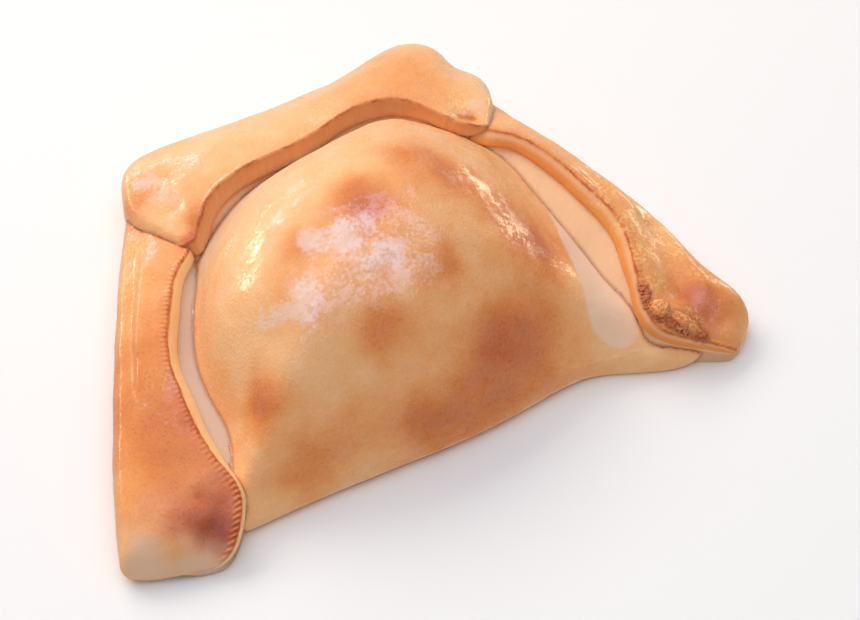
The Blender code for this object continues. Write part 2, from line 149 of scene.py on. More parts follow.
def applyTree(piece, tree, inputs):
    modifier = piece.modifiers.new(tree.name, "NODES")
    modifier.node_group = tree
    for item in tree.interface.items_tree:
        if item.in_out == "INPUT" and item.name in inputs:
            modifier[item.identifier] = inputs[item.name]
    return plainMesh(piece)


def plainMesh(piece):
    graph = bpy.context.evaluated_depsgraph_get()
    mesh = bpy.data.meshes.new_from_object(piece.evaluated_get(graph))
    piece.modifiers.clear()
    piece.data = mesh
    return piece


# Curves and lofts

def bendsOf(rows, gaps, closed):
    # second derivatives of a cubic spline at its knots: natural at open ends, continuous round a closed one
    last = len(gaps)
    slopes = np.diff(rows, axis=0) / gaps[:, None]
    system = np.zeros((last + 1, last + 1))
    right = np.zeros_like(rows)
    for k in range(1, last):
        system[k, k - 1 : k + 2] = gaps[k - 1], 2 * (gaps[k - 1] + gaps[k]), gaps[k]
        right[k] = 6 * (slopes[k] - slopes[k - 1])
    system[0, 0] = system[last, last] = 1.0
    if closed:
        system[0, [0, 1, last - 1]] = 2 * (gaps[-1] + gaps[0]), gaps[0], gaps[-1]
        right[0] = 6 * (slopes[0] - slopes[-1])
        system[last, 0] = -1.0
    return np.linalg.solve(system, right)


def curveThrough(rows, places, closed=False):
    # rows at places from 0 to 1, or at a number of even places, on the smooth curve through the given rows
    if np.isscalar(places):
        places = np.linspace(0.0, 1.0, places, endpoint=not closed)
    rows = np.asarray(rows, float)
    if closed:
        rows = np.vstack([rows, rows[:1]])
    gaps = np.sqrt(np.linalg.norm(np.diff(rows, axis=0), axis=1))
    knots = np.concatenate([[0.0], np.cumsum(gaps)])
    bends = bendsOf(rows, gaps, closed)
    at = places * knots[-1]
    span = np.clip(np.searchsorted(knots, at, side="right") - 1, 0, len(gaps) - 1)
    h = gaps[span][:, None]
    b = (at - knots[span])[:, None] / h
    a = 1.0 - b
    curved = ((a**3 - a) * bends[span] + (b**3 - b) * bends[span + 1]) * h**2 / 6.0
    return a * rows[span] + b * rows[span + 1] + curved


def roundedLoop(corners, steps):
    # a closed section through its corners, each (rib, axis), and for each point its corner number
    made, numbers = [], []
    total = len(corners)
    for k in range(total):
        p0, p1, p2, p3 = (corners[(k + j) % total] for j in (-1, 0, 1, 2))
        reach = [np.sqrt(np.linalg.norm(q - p, axis=-1)) + 1e-6 for p, q in ((p0, p1), (p1, p2), (p2, p3))]
        u1, u2, u3 = (t[:, None] for t in np.cumsum(reach, axis=0))
        for s in range(steps[k]):
            t = u1 + (u2 - u1) * s / steps[k]
            a1 = p0 * (u1 - t) / u1 + p1 * t / u1
            a2 = p1 * (u2 - t) / (u2 - u1) + p2 * (t - u1) / (u2 - u1)
            a3 = p2 * (u3 - t) / (u3 - u2) + p3 * (t - u2) / (u3 - u2)
            b1 = a1 * (u2 - t) / u2 + a2 * t / u2
            b2 = a2 * (u3 - t) / (u3 - u1) + a3 * (t - u1) / (u3 - u1)
            made.append(b1 * (u2 - t) / (u2 - u1) + b2 * (t - u1) / (u2 - u1))
            numbers.append(k + s / steps[k])
    return np.stack(made), np.array(numbers)


def newPiece(name, vertices, faces, edges=()):
    mesh = bpy.data.meshes.new(name)
    mesh.from_pydata([tuple(v) for v in vertices], edges, faces)
    piece = bpy.data.objects.new(name, mesh)
    bpy.context.scene.collection.objects.link(piece)
    return piece


def loft(name, rings, start, end):
    # a closed mesh through rings of equally many points, closed by a fan to a pole at both ends
    count, size = rings.shape[:2]
    vertices = np.concatenate([rings.reshape(-1, 3), [start], [end]]) * mm
    faces = [
        (r * size + c, r * size + (c + 1) % size, (r + 1) * size + (c + 1) % size, (r + 1) * size + c)
        for r in range(count - 1)
        for c in range(size)
    ]
    top, pole = (count - 1) * size, count * size
    faces += [(pole, (c + 1) % size, c) for c in range(size)]
    faces += [(pole + 1, top + c, top + (c + 1) % size) for c in range(size)]
    piece = newPiece(name, vertices, faces)
    tidyMesh(piece.data)
    return piece, vertices


def tidyMesh(mesh):
    work = bmesh.new()
    work.from_mesh(mesh)
    bmesh.ops.remove_doubles(work, verts=work.verts, dist=0.005 * mm)
    bmesh.ops.triangulate(work, faces=work.faces)
    bmesh.ops.recalc_face_normals(work, faces=work.faces)
    work.to_mesh(mesh)
    work.free()


# The filled middle. Stations go round from the right: foot x, y, z, where the dome meets a flap or the tray, its slope
# in degrees there, how much steeper it grows above that, and the x, y of the outer edge, which shows only in front.

filling = {
    "height": 44.0,
    "apex": (2.0, -12.0),
    "ceiling": 45.5,
    "levelOff": 2.4,
    "edgeHeight": 3.0,
    "baseRound": 2.6,
    "skirtHeight": 5.0,
    "columns": 400,
    "rows": 88,
    "crowding": 1.3,
    "stations": (
        (57.0, -33.0, 9.2, 26.0, 1.6, 70.0, -34.0),
        (55.6, -21.5, 10.8, 28.0, 1.6, 68.0, -21.0),
        (53.8, -9.5, 12.2, 30.0, 1.5, 65.0, -9.0),
        (52.0, 1.5, 13.4, 34.0, 1.2, 61.0, 4.0),
        (49.2, 10.2, 14.8, 42.0, 0.6, 56.5, 18.0),
        (43.6, 17.2, 16.6, 50.0, 0.0, 50.0, 32.0),
        (37.4, 24.6, 16.8, 54.0, 0.0, 44.0, 46.0),
        (28.5, 32.6, 15.8, 55.0, 0.0, 32.0, 52.5),
        (17.0, 35.2, 14.8, 55.0, 0.0, 18.0, 53.5),
        (4.0, 34.2, 13.6, 54.0, 0.0, 3.0, 53.5),
        (-10.5, 32.0, 13.0, 52.0, 0.1, -13.0, 53.0),
        (-21.5, 27.5, 12.0, 50.0, 0.3, -29.0, 48.0),
        (-30.5, 20.3, 11.5, 52.0, 0.3, -40.0, 34.0),
        (-36.0, 11.5, 10.8, 60.0, 0.0, -48.5, 18.0),
        (-41.5, 1.0, 9.8, 64.0, 0.0, -55.0, 3.0),
        (-45.5, -10.0, 9.0, 64.0, 0.0, -62.0, -11.5),
        (-47.2, -22.0, 8.0, 60.0, 0.0, -67.0, -25.0),
        (-48.0, -34.0, 7.0, 54.0, 0.2, -69.5, -38.0),
        (-53.0, -48.0, 5.6, 50.0, 0.3, -58.0, -51.0),
        (-44.6, -51.4, 5.4, 54.0, 0.2, -45.4, -52.6),
        (-31.0, -51.5, 6.2, 62.0, 0.0, -31.3, -52.3),
        (-14.0, -52.1, 6.4, 67.0, 0.0, -14.0, -52.6),
        (4.0, -52.3, 6.4, 68.0, 0.0, 4.0, -52.8),
        (20.0, -51.0, 6.4, 64.0, 0.0, 20.0, -51.5),
        (33.4, -49.2, 6.3, 54.0, 0.2, 33.8, -49.8),
        (45.6, -50.8, 6.2, 40.0, 0.8, 46.6, -52.2),
        (58.5, -49.0, 7.4, 26.0, 1.4, 66.0, -56.0),
    ),
    # low swellings and hollows of the skin: x, y, radius, height
    "swellings": (
        (22.0, 22.0, 10.0, 1.0),
        (6.0, 14.0, 10.0, 0.8),
        (-11.0, 8.0, 9.0, 0.8),
        (36.0, -8.0, 13.0, 1.0),
        (16.0, -10.0, 10.0, 0.6),
        (-6.0, -14.0, 11.0, -1.0),
        (-28.0, -20.0, 10.0, 0.8),
        (8.0, -36.0, 18.0, 0.8),
    ),
}


def domeHeight(x, y, foot):
    step = np.linalg.norm(np.roll(foot[:, :2], -1, axis=0) - np.roll(foot[:, :2], 1, axis=0), axis=1) / 2
    away = np.hypot(x[..., None] - foot[:, 0], y[..., None] - foot[:, 1])
    pull = step / np.maximum(away, 0.05) ** 3
    base = (pull * foot[:, 2]).sum(axis=-1) / pull.sum(axis=-1)
    rise = np.sqrt(2 / (pull / np.tan(np.radians(foot[:, 3])) ** 2).sum(axis=-1))
    room = filling["ceiling"] - base
    shoulder = (pull * foot[:, 4]).sum(axis=-1) / pull.sum(axis=-1)
    share = rise / room * (1 + shoulder * rise / room)
    level = filling["levelOff"]
    return base + room * share / (1 + share**level) ** (1 / level)


def domeRelief(x, y):
    return sum(h * np.exp(-((x - cx) ** 2 + (y - cy) ** 2) / (0.5 * r**2)) for cx, cy, r, h in filling["swellings"])


def makeFilling():
    stations = filling["stations"]
    rows = curveThrough(stations, filling["columns"], closed=True)
    foot, edge = rows[:, :5], rows[:, 5:]
    apex = np.array(filling["apex"])
    turns = np.linspace(0.0, filling["crowding"], filling["rows"] + 1)[:-1]
    shares = np.sin(turns) / math.sin(filling["crowding"])  # rings lie closer together towards the foot
    plan = apex + shares[:, None, None] * (foot[:, :2] - apex)
    x, y = plan[..., 0], plan[..., 1]
    fineFoot = curveThrough(stations, 320, closed=True)[:, :5]
    skin = domeHeight(x, y, fineFoot) + domeRelief(x, y) * (1 - shares[:, None] ** 6)
    skin += (filling["height"] - skin.max()) * (1 - shares[:, None] ** 2) ** 2
    dome = np.concatenate([plan, skin[..., None]], axis=2)
    rings = [*dome[1:], foot[:, :3]]
    skirt = edge - foot[:, :2]
    wide = np.clip(np.linalg.norm(skirt, axis=1) / 6.0, 0, 1)
    for share in (0.2, 0.4, 0.6, 0.8, 0.92, 0.98):
        hidden = filling["edgeHeight"] + (filling["skirtHeight"] - filling["edgeHeight"]) * wide * (1 - share**6)
        rings.append(np.column_stack([foot[:, :2] + skirt * share, foot[:, 2] + (hidden - foot[:, 2]) * share]))
    inward = apex - edge
    inward /= np.linalg.norm(inward, axis=1)[:, None]
    for turn in np.radians(np.linspace(0, 90, 9)):
        low = np.full(len(edge), filling["edgeHeight"] * (1 - math.sin(turn)))
        rings.append(np.column_stack([edge + inward * filling["baseRound"] * (1 - math.cos(turn)), low]))
    rings = np.stack(rings)
    piece, vertices = loft("filling", rings, dome[0, 0], (*edge.mean(axis=0), 0.0))
    facts = np.zeros((len(vertices), 5))  # flap, from the lip, layer, along the lip, crimp
    facts[:, 1] = -20.0
    return piece, vertices, facts


# The turned-over rim. Each flap's ribs, from one end to the other: the outer fold x, y and its crown height, the inner
# lip x, y, z, how far the upper layer's cut edge slopes out and down from the lip, how far the lower layer reaches past
# that, and the height where it meets the filling.

flaps = {
    "lift": 0.3,
    "lipRound": 0.5,
    "layerNotch": 0.5,
    "ribCount": 220,
    "endCrowding": 0.45,
    "endRound": 4.0,
    "endSquareness": (4.0, 2.2),
    "jagPitch": 1.3,
    "left": {
        "kind": 1.0,
        "tone": 0.15,
        # cut tones from lip to crease; the greyer stops from 0.50 are raw dough with painted shade of the groove, the
        # last stop painted crease shade
        "cut": (
            (0.00, (0.92, 0.38, 0.11)),
            (0.10, (1.00, 0.66, 0.32)),
            (0.42, (1.00, 0.69, 0.38)),
            (0.50, (0.76, 0.55, 0.41)),
            (0.88, (0.62, 0.46, 0.37)),
            (1.00, (0.56, 0.34, 0.23)),
        ),
        "endHeight": 0.4,
        "jag": 0.10,
        "crimp": ((0.0, 0.2), (0.2, 0.4), (0.7, 0.45), (0.8, 1.0), (0.97, 1.0), (1.0, 0.0)),
        "ribs": (
            (-40.5, 45.0, 9.6, -29.4, 27.0, 12.6, 1.0, 3.0, 1.0, 9.0),
            (-44.0, 38.0, 10.6, -33.8, 18.2, 15.4, 1.1, 3.0, 2.3, 11.0),
            (-49.5, 27.0, 12.0, -38.7, 12.9, 17.0, 1.3, 3.2, 3.8, 11.5),
            (-54.0, 17.5, 12.8, -42.6, 7.3, 17.0, 1.7, 3.4, 4.8, 11.0),
            (-59.5, 5.0, 13.0, -48.7, -4.2, 16.5, 2.0, 3.6, 4.7, 10.5),
            (-64.5, -6.5, 13.0, -51.5, -13.2, 16.0, 2.2, 3.6, 5.6, 10.0),
            (-69.0, -17.5, 12.6, -52.0, -21.2, 15.5, 2.4, 3.6, 5.3, 9.5),
            (-73.4, -28.5, 12.2, -52.7, -29.8, 15.0, 2.3, 3.6, 5.8, 9.0),
            (-76.4, -37.0, 11.8, -52.1, -37.1, 14.0, 2.1, 3.6, 4.9, 8.5),
            (-78.6, -43.5, 11.0, -51.0, -42.3, 13.0, 1.6, 3.6, 3.0, 8.0),
            (-80.0, -48.0, 9.8, -50.1, -47.6, 12.0, 1.0, 3.5, 0.8, 6.5),
            (-80.6, -51.0, 8.0, -52.4, -53.6, 9.4, 0.3, 3.0, -1.4, 3.5),
            (-79.0, -53.8, 5.0, -58.4, -60.2, 4.6, 0.2, 1.5, -1.6, 1.5),
        ),
    },
    "right": {
        "kind": 2.0,
        "tone": 0.15,
        "cut": (
            (0.00, (0.78, 0.34, 0.14)),
            (0.16, (0.88, 0.47, 0.25)),
            (0.30, (0.84, 0.33, 0.09)),
            (0.50, (0.86, 0.33, 0.08)),
            (0.54, (0.88, 0.56, 0.33)),
            (0.90, (0.84, 0.52, 0.31)),
            (1.00, (0.80, 0.48, 0.29)),
        ),
        "endHeight": 0.4,
        "jag": 0.10,
        "crimp": ((0.0, 0.0), (0.4, 0.1), (0.7, 0.25), (1.0, 0.1)),
        "ribs": (
            (56.5, 37.0, 12.0, 40.0, 20.0, 22.0, 2.0, 2.5, 0.8, 18.0),
            (58.6, 29.8, 13.0, 45.3, 14.0, 23.0, 2.6, 2.6, 1.2, 18.5),
            (60.4, 23.2, 13.5, 49.6, 10.0, 23.0, 1.8, 3.0, 4.0, 17.0),
            (63.0, 15.1, 14.0, 52.9, 4.2, 23.0, 2.0, 3.4, 5.9, 16.0),
            (66.4, 6.4, 14.4, 55.9, -2.8, 22.0, 2.3, 3.2, 7.4, 15.0),
            (69.6, -2.8, 14.5, 58.1, -11.0, 21.0, 2.5, 3.0, 8.1, 14.0),
            (72.4, -12.6, 14.5, 59.9, -18.3, 20.0, 2.6, 3.0, 8.3, 13.0),
            (74.8, -21.9, 14.3, 60.3, -25.6, 19.0, 2.6, 3.0, 7.6, 12.0),
            (75.9, -30.7, 13.6, 58.4, -32.9, 18.0, 2.4, 3.2, 5.4, 11.0),
            (77.0, -37.2, 12.8, 56.6, -38.6, 17.0, 1.8, 3.5, 3.0, 9.5),
            (79.3, -43.4, 12.0, 54.8, -44.6, 15.0, 1.6, 3.5, 0.8, 8.0),
            (80.8, -47.8, 11.2, 54.6, -49.6, 13.6, 1.0, 3.5, 0.4, 5.0),
            (81.1, -50.9, 10.0, 56.6, -52.6, 11.6, 0.6, 3.0, -0.6, 5.0),
            (80.2, -53.8, 8.0, 64.2, -56.8, 8.6, 0.4, 2.5, -1.8, 3.0),
            (77.4, -57.4, 6.0, 71.6, -60.8, 6.0, 0.3, 1.5, -1.6, 1.5),
        ),
    },
    "top": {
        "kind": 3.0,
        "tone": 0.04,
        # cut tones from lip to crease; the last stop darkens into painted crease shade
        "cut": (
            (0.00, (0.66, 0.24, 0.08)),
            (0.14, (0.78, 0.35, 0.14)),
            (0.40, (0.86, 0.46, 0.22)),
            (0.90, (0.88, 0.57, 0.34)),
            (1.00, (0.56, 0.30, 0.17)),
        ),
        "endHeight": 0.75,
        "jag": 0.14,
        "crimp": ((0.0, 0.1), (0.6, 0.1), (1.0, 0.0)),
        "ribs": (
            (-41.6, 33.0, 14.6, -36.0, 20.0, 16.4, 0.6, 3.0, 0.4, 11.0),
            (-42.0, 41.0, 14.0, -32.2, 19.0, 17.0, 1.6, 3.6, 1.2, 11.5),
            (-40.2, 48.6, 13.4, -30.2, 21.0, 18.0, 2.2, 4.0, 1.8, 12.5),
            (-36.6, 55.6, 12.6, -28.2, 23.2, 19.4, 2.6, 4.4, 2.0, 12.5),
            (-30.0, 58.0, 13.0, -25.4, 26.4, 20.4, 2.4, 4.6, 2.0, 12.8),
            (-20.0, 58.2, 13.6, -19.0, 30.0, 21.2, 1.8, 4.6, 1.6, 13.6),
            (-8.0, 57.8, 13.8, -9.0, 32.2, 21.5, 1.4, 4.8, 1.0, 14.0),
            (4.0, 57.6, 14.0, 0.6, 32.6, 22.0, 1.2, 4.8, 0.8, 14.8),
            (15.0, 58.0, 14.4, 8.6, 33.6, 23.0, 1.0, 5.0, 0.8, 15.4),
            (26.0, 58.8, 15.0, 17.3, 35.3, 24.0, 1.0, 5.0, 0.8, 16.0),
            (36.0, 60.8, 16.0, 25.6, 33.8, 25.0, 1.0, 5.0, 0.6, 16.8),
            (45.4, 61.0, 16.4, 30.8, 30.0, 25.5, 0.8, 4.6, 0.6, 17.8),
            (51.4, 55.6, 16.2, 34.6, 24.4, 25.6, 0.6, 4.2, 0.6, 18.6),
            (53.2, 47.4, 16.2, 37.8, 19.6, 25.2, 0.6, 3.8, 0.5, 19.0),
            (56.6, 42.0, 16.4, 40.6, 17.0, 24.6, 0.5, 3.4, 0.5, 18.6),
            (56.8, 35.6, 17.0, 44.4, 15.2, 23.8, 0.4, 2.4, 0.4, 17.0),
            (54.0, 27.6, 18.6, 48.6, 16.4, 22.4, 0.3, 1.6, 0.3, 15.0),
        ),
    },
}
lipCorner, layerCorner, creaseCorner = 8.5, 11.5, 14.0  # places along a flap's section
sectionSteps = (2, 3, 7, 8, 7, 11, 11, 9, 4, 3, 4, 4, 3, 5, 4, 1, 1, 1)


def flapSection(width, crown, lip, step, drop, reach, foot):
    # corners as distance in from the outer fold and height, for all ribs at once
    lift, notch = flaps["lift"], flaps["layerNotch"]
    under = lip - drop - 0.7
    corners = (
        (4.0 + 0 * width, lift + 0 * width),
        (1.2 + 0 * width, lift + 1.2 + 0 * width),
        (0 * width, 0.45 * crown),
        (1.5 + 0 * width, 0.82 * crown),
        (5.0 + 0 * width, crown),
        (0.45 * width, crown + 0.52 * (lip - crown)),
        (0.72 * width, crown + 0.80 * (lip - crown)),
        (width - 2.0, lip - 0.3),
        (width - 0.7, lip),
        (width, lip - flaps["lipRound"]),
        (width + 0.5 * step, lip - 0.45 * drop),
        (width + step, lip - drop),
        (width + step - notch, under),
        (width + step + 0.72 * reach, under - 0.42 * (lip - drop - foot)),
        (width + step + reach, foot),
        (width + step + 0.5 * reach, foot - 3.0),
        (width - 4.0, foot - 4.5),
        (0.5 * width, 2.0 + 0 * width),
    )
    return [np.stack(corner, axis=1) for corner in corners]


def endScale(lengths, squareness):
    near = np.clip(np.minimum(lengths, lengths[-1] - lengths) / flaps["endRound"], 0, 1)
    return (1 - (1 - near) ** squareness) ** (1 / squareness)


def jagged(lengths, seed):
    # an uneven line along the lip, from -1 to 1
    random = np.random.default_rng(seed)
    knots = np.arange(0.0, lengths[-1] + flaps["jagPitch"], flaps["jagPitch"] / 2)
    coarse = np.interp(lengths, knots, random.uniform(-1, 1, len(knots)))
    wide = np.interp(lengths, knots * 4, random.uniform(-1, 1, len(knots)))
    return 0.6 * coarse + 0.6 * wide


def makeFlap(name, seed):
    flap = flaps[name]
    even = np.linspace(0.0, 1.0, flaps["ribCount"])
    rows = curveThrough(flap["ribs"], even - flaps["endCrowding"] * np.sin(2 * math.pi * even) / (2 * math.pi))
    outer, crown, inner = rows[:, :2], rows[:, 2], rows[:, 3:5]
    across = inner - outer
    width = np.linalg.norm(across, axis=1)
    loop, numbers = roundedLoop(flapSection(width, crown, *rows[:, 5:].T), sectionSteps)
    walk = np.linalg.norm(np.diff(0.5 * (outer + inner), axis=0), axis=1)
    lengths = np.concatenate([[0.0], np.cumsum(walk)])
    lipWalk = np.concatenate([[0.0], np.cumsum(np.linalg.norm(np.diff(inner, axis=0), axis=1))])
    # the cut edge is uneven where the dough was torn and washed
    reach = np.exp(-(((numbers - lipCorner) / 1.0) ** 2))[:, None] * jagged(lipWalk, seed) * flap["jag"]
    loop += np.stack([reach, 0.5 * reach], axis=2)
    reach = np.exp(-(((numbers - layerCorner) / 0.8) ** 2))[:, None] * jagged(lipWalk, seed + 1) * flap["jag"]
    loop += np.stack([reach, 0 * reach], axis=2)
    middle = np.stack([0.5 * width, flap["endHeight"] * crown], axis=1)
    scale = np.stack([endScale(lengths, squareness) for squareness in flaps["endSquareness"]], axis=1)
    loop = middle + (loop - middle) * scale
    # how far each point is from the lip along its section, positive down the cut edge
    ways = np.linalg.norm(np.diff(loop, axis=0), axis=2)
    places = np.concatenate([np.zeros((1, len(width))), np.cumsum(ways, axis=0)])
    lipAt = np.abs(numbers - lipCorner).argmin()
    fromLip = places - places[lipAt]
    layer = np.interp(numbers, (0, lipCorner, layerCorner, creaseCorner, 18), (-1, 0, 1, 2, 3))
    plan = outer + loop[:, :, :1] * (across / width[:, None])
    height = np.maximum(loop[:, :, 1:], flaps["lift"])
    rings = np.concatenate([plan, height], axis=2).transpose(1, 0, 2)[1:-1]
    poles = [np.append(outer[k] + middle[k, 0] * across[k] / width[k], middle[k, 1]) for k in (0, -1)]
    piece, vertices = loft(name + "Flap", rings, *poles)
    facts = np.full((len(vertices), 5), flap["kind"])
    facts[:-2, 1] = fromLip.T[1:-1].ravel()
    facts[:-2, 2] = np.tile(layer, len(rings))
    facts[:-2, 3] = np.repeat(lipWalk[1:-1], len(numbers))
    press = np.interp(even[1:-1], *zip(*flap["crimp"]))
    facts[:-2, 4] = (press * np.exp(-(((fromLip[:, 1:-1] + 0.8) / 1.0) ** 2))).T.ravel()
    facts[-2:, 1:] = (-8.0, -1.0, 0.0, 0.0)
    return piece, vertices, facts


# Burst crumbs of dough along the lip at the end of the right flap, scattered about a line

crumbs = {
    "Count": 420,
    "Spread": 1.0 * mm,
    "Smallest": 0.22 * mm,
    "Largest": 0.55 * mm,
    "Seed": 4,
    "line": (
        (57.2, -41.5, 15.9), (56.0, -45.0, 14.6), (56.4, -48.4, 13.2), (58.2, -50.6, 12.2), (60.6, -52.4, 11.0),
        (63.2, -54.4, 9.6), (66.0, -56.2, 8.2),
    ),
    # the largest lumps among them: x, y, z, the three radii, turn in plan and tilt in degrees
    "lumps": (
        (57.8, -47.6, 14.2, 2.5, 2.3, 1.9, 0.0, -10.0),
        (62.8, -52.4, 10.6, 5.0, 2.1, 1.8, -53.0, -29.0),
    ),
    "tone": 0.24,
}
crumbInputs = ("Count", "Spread", "Smallest", "Largest", "Seed")


def crumbTree():
    graph, source = geometryTree("crumbScatter", {name: crumbs[name] for name in crumbInputs})
    seed = source.sibling("Seed")
    line = graph.add("GeometryNodeMeshToCurve", None, {"Mesh": source})
    points = graph.add("GeometryNodeCurveToPoints", None, {"Curve": line, "Count": source.sibling("Count")})
    spread = source.sibling("Spread")
    vector = {"data_type": "FLOAT_VECTOR"}
    away = graph.add("FunctionNodeRandomValue", vector, {0: (-1, -1, -0.6), 1: (1, 1, 0.6), "Seed": seed})
    away = graph.add("ShaderNodeVectorMath", {"operation": "SCALE"}, {"Vector": away, "Scale": spread})
    points = graph.add("GeometryNodeSetPosition", None, {"Geometry": points, "Offset": away})
    ball = graph.add("GeometryNodeMeshIcoSphere", None, {"Radius": 1.0, "Subdivisions": 2})
    place = graph.add("GeometryNodeInputPosition")
    rough = graph.add("ShaderNodeTexNoise", None, {"Vector": place, "Scale": 1.4, "Detail": 2.0})
    dent = graph.add("ShaderNodeVectorMath", {"operation": "SCALE"}, {"Vector": place, "Scale": (rough - 0.5) * 0.5})
    ball = graph.add("GeometryNodeSetPosition", None, {"Geometry": ball, "Offset": dent})
    turn = graph.add("FunctionNodeRandomValue", vector, {0: (0, 0, 0), 1: (6.28, 6.28, 6.28), "Seed": seed})
    sizes = {2: source.sibling("Smallest"), 3: source.sibling("Largest"), "Seed": seed}
    size = graph.add("FunctionNodeRandomValue", {"data_type": "FLOAT"}, sizes, out=1)
    placed = {"Points": points, "Instance": ball, "Rotation": turn, "Scale": size}
    made = graph.add("GeometryNodeInstanceOnPoints", None, placed)
    made = graph.add("GeometryNodeRealizeInstances", None, {"Geometry": made})
    made = graph.add("GeometryNodeSetMaterial", None, {"Geometry": made, "Material": crust})
    graph.add("NodeGroupOutput", None, {"Geometry": made})
    return graph.tree


def makeCrumbs():
    line = curveThrough(crumbs["line"], 40) * mm
    piece = newPiece("crumbs", line, [], [(k, k + 1) for k in range(len(line) - 1)])
    return applyTree(piece, crumbTree(), {name: crumbs[name] for name in crumbInputs})


def makeLumps():
    made = []
    for k, (*place, length, width, height, turn, tilt) in enumerate(crumbs["lumps"]):
        work = bmesh.new()
        bmesh.ops.create_icosphere(work, subdivisions=5, radius=1.0)
        size = Matrix.Diagonal((length, width, height))
        turned = Euler((0, math.radians(-tilt), math.radians(turn))).to_matrix()
        for vertex in work.verts:
            spot = size @ vertex.co
            rough = 0.16 * noise.noise(spot * 0.9 + Vector((9 * k, 0, 0))) + 0.10 * noise.noise(spot * 2.2)
            vertex.co = (turned @ (spot * (1 + rough)) + Vector(place)) * mm
        piece = newPiece(f"lump{k}", [], [])
        work.to_mesh(piece.data)
        work.free()
        made.append(piece)
    return made


def fuse(main, others):
    joined = bpy.data.collections.new("joined")
    bpy.context.scene.collection.children.link(joined)
    for piece in others:
        bpy.context.scene.collection.objects.unlink(piece)
        joined.objects.link(piece)
    union = main.modifiers.new("fuse", "BOOLEAN")
    union.operation = "UNION"
    union.operand_type = "COLLECTION"
    union.collection = joined
    union.solver = "MANIFOLD"
    plainMesh(main)
    keepOuterShell(main.data)
    for piece in others:
        bpy.data.objects.remove(piece)
    bpy.data.collections.remove(joined)
    return main


def keepOuterShell(mesh):
    work = bmesh.new()
    work.from_mesh(mesh)
    bmesh.ops.triangulate(work, faces=work.faces)
    left, shells = set(work.faces), []
    while left:
        shell, search = set(), [left.pop()]
        while search:
            face = search.pop()
            shell.add(face)
            near = {other for edge in face.edges for other in edge.link_faces} & left
            left -= near
            search.extend(near)
        shells.append(shell)
    outer = max(shells, key=len)
    bmesh.ops.delete(work, geom=[face for face in work.faces if face not in outer], context="FACES")
    work.to_mesh(mesh)
    work.free()
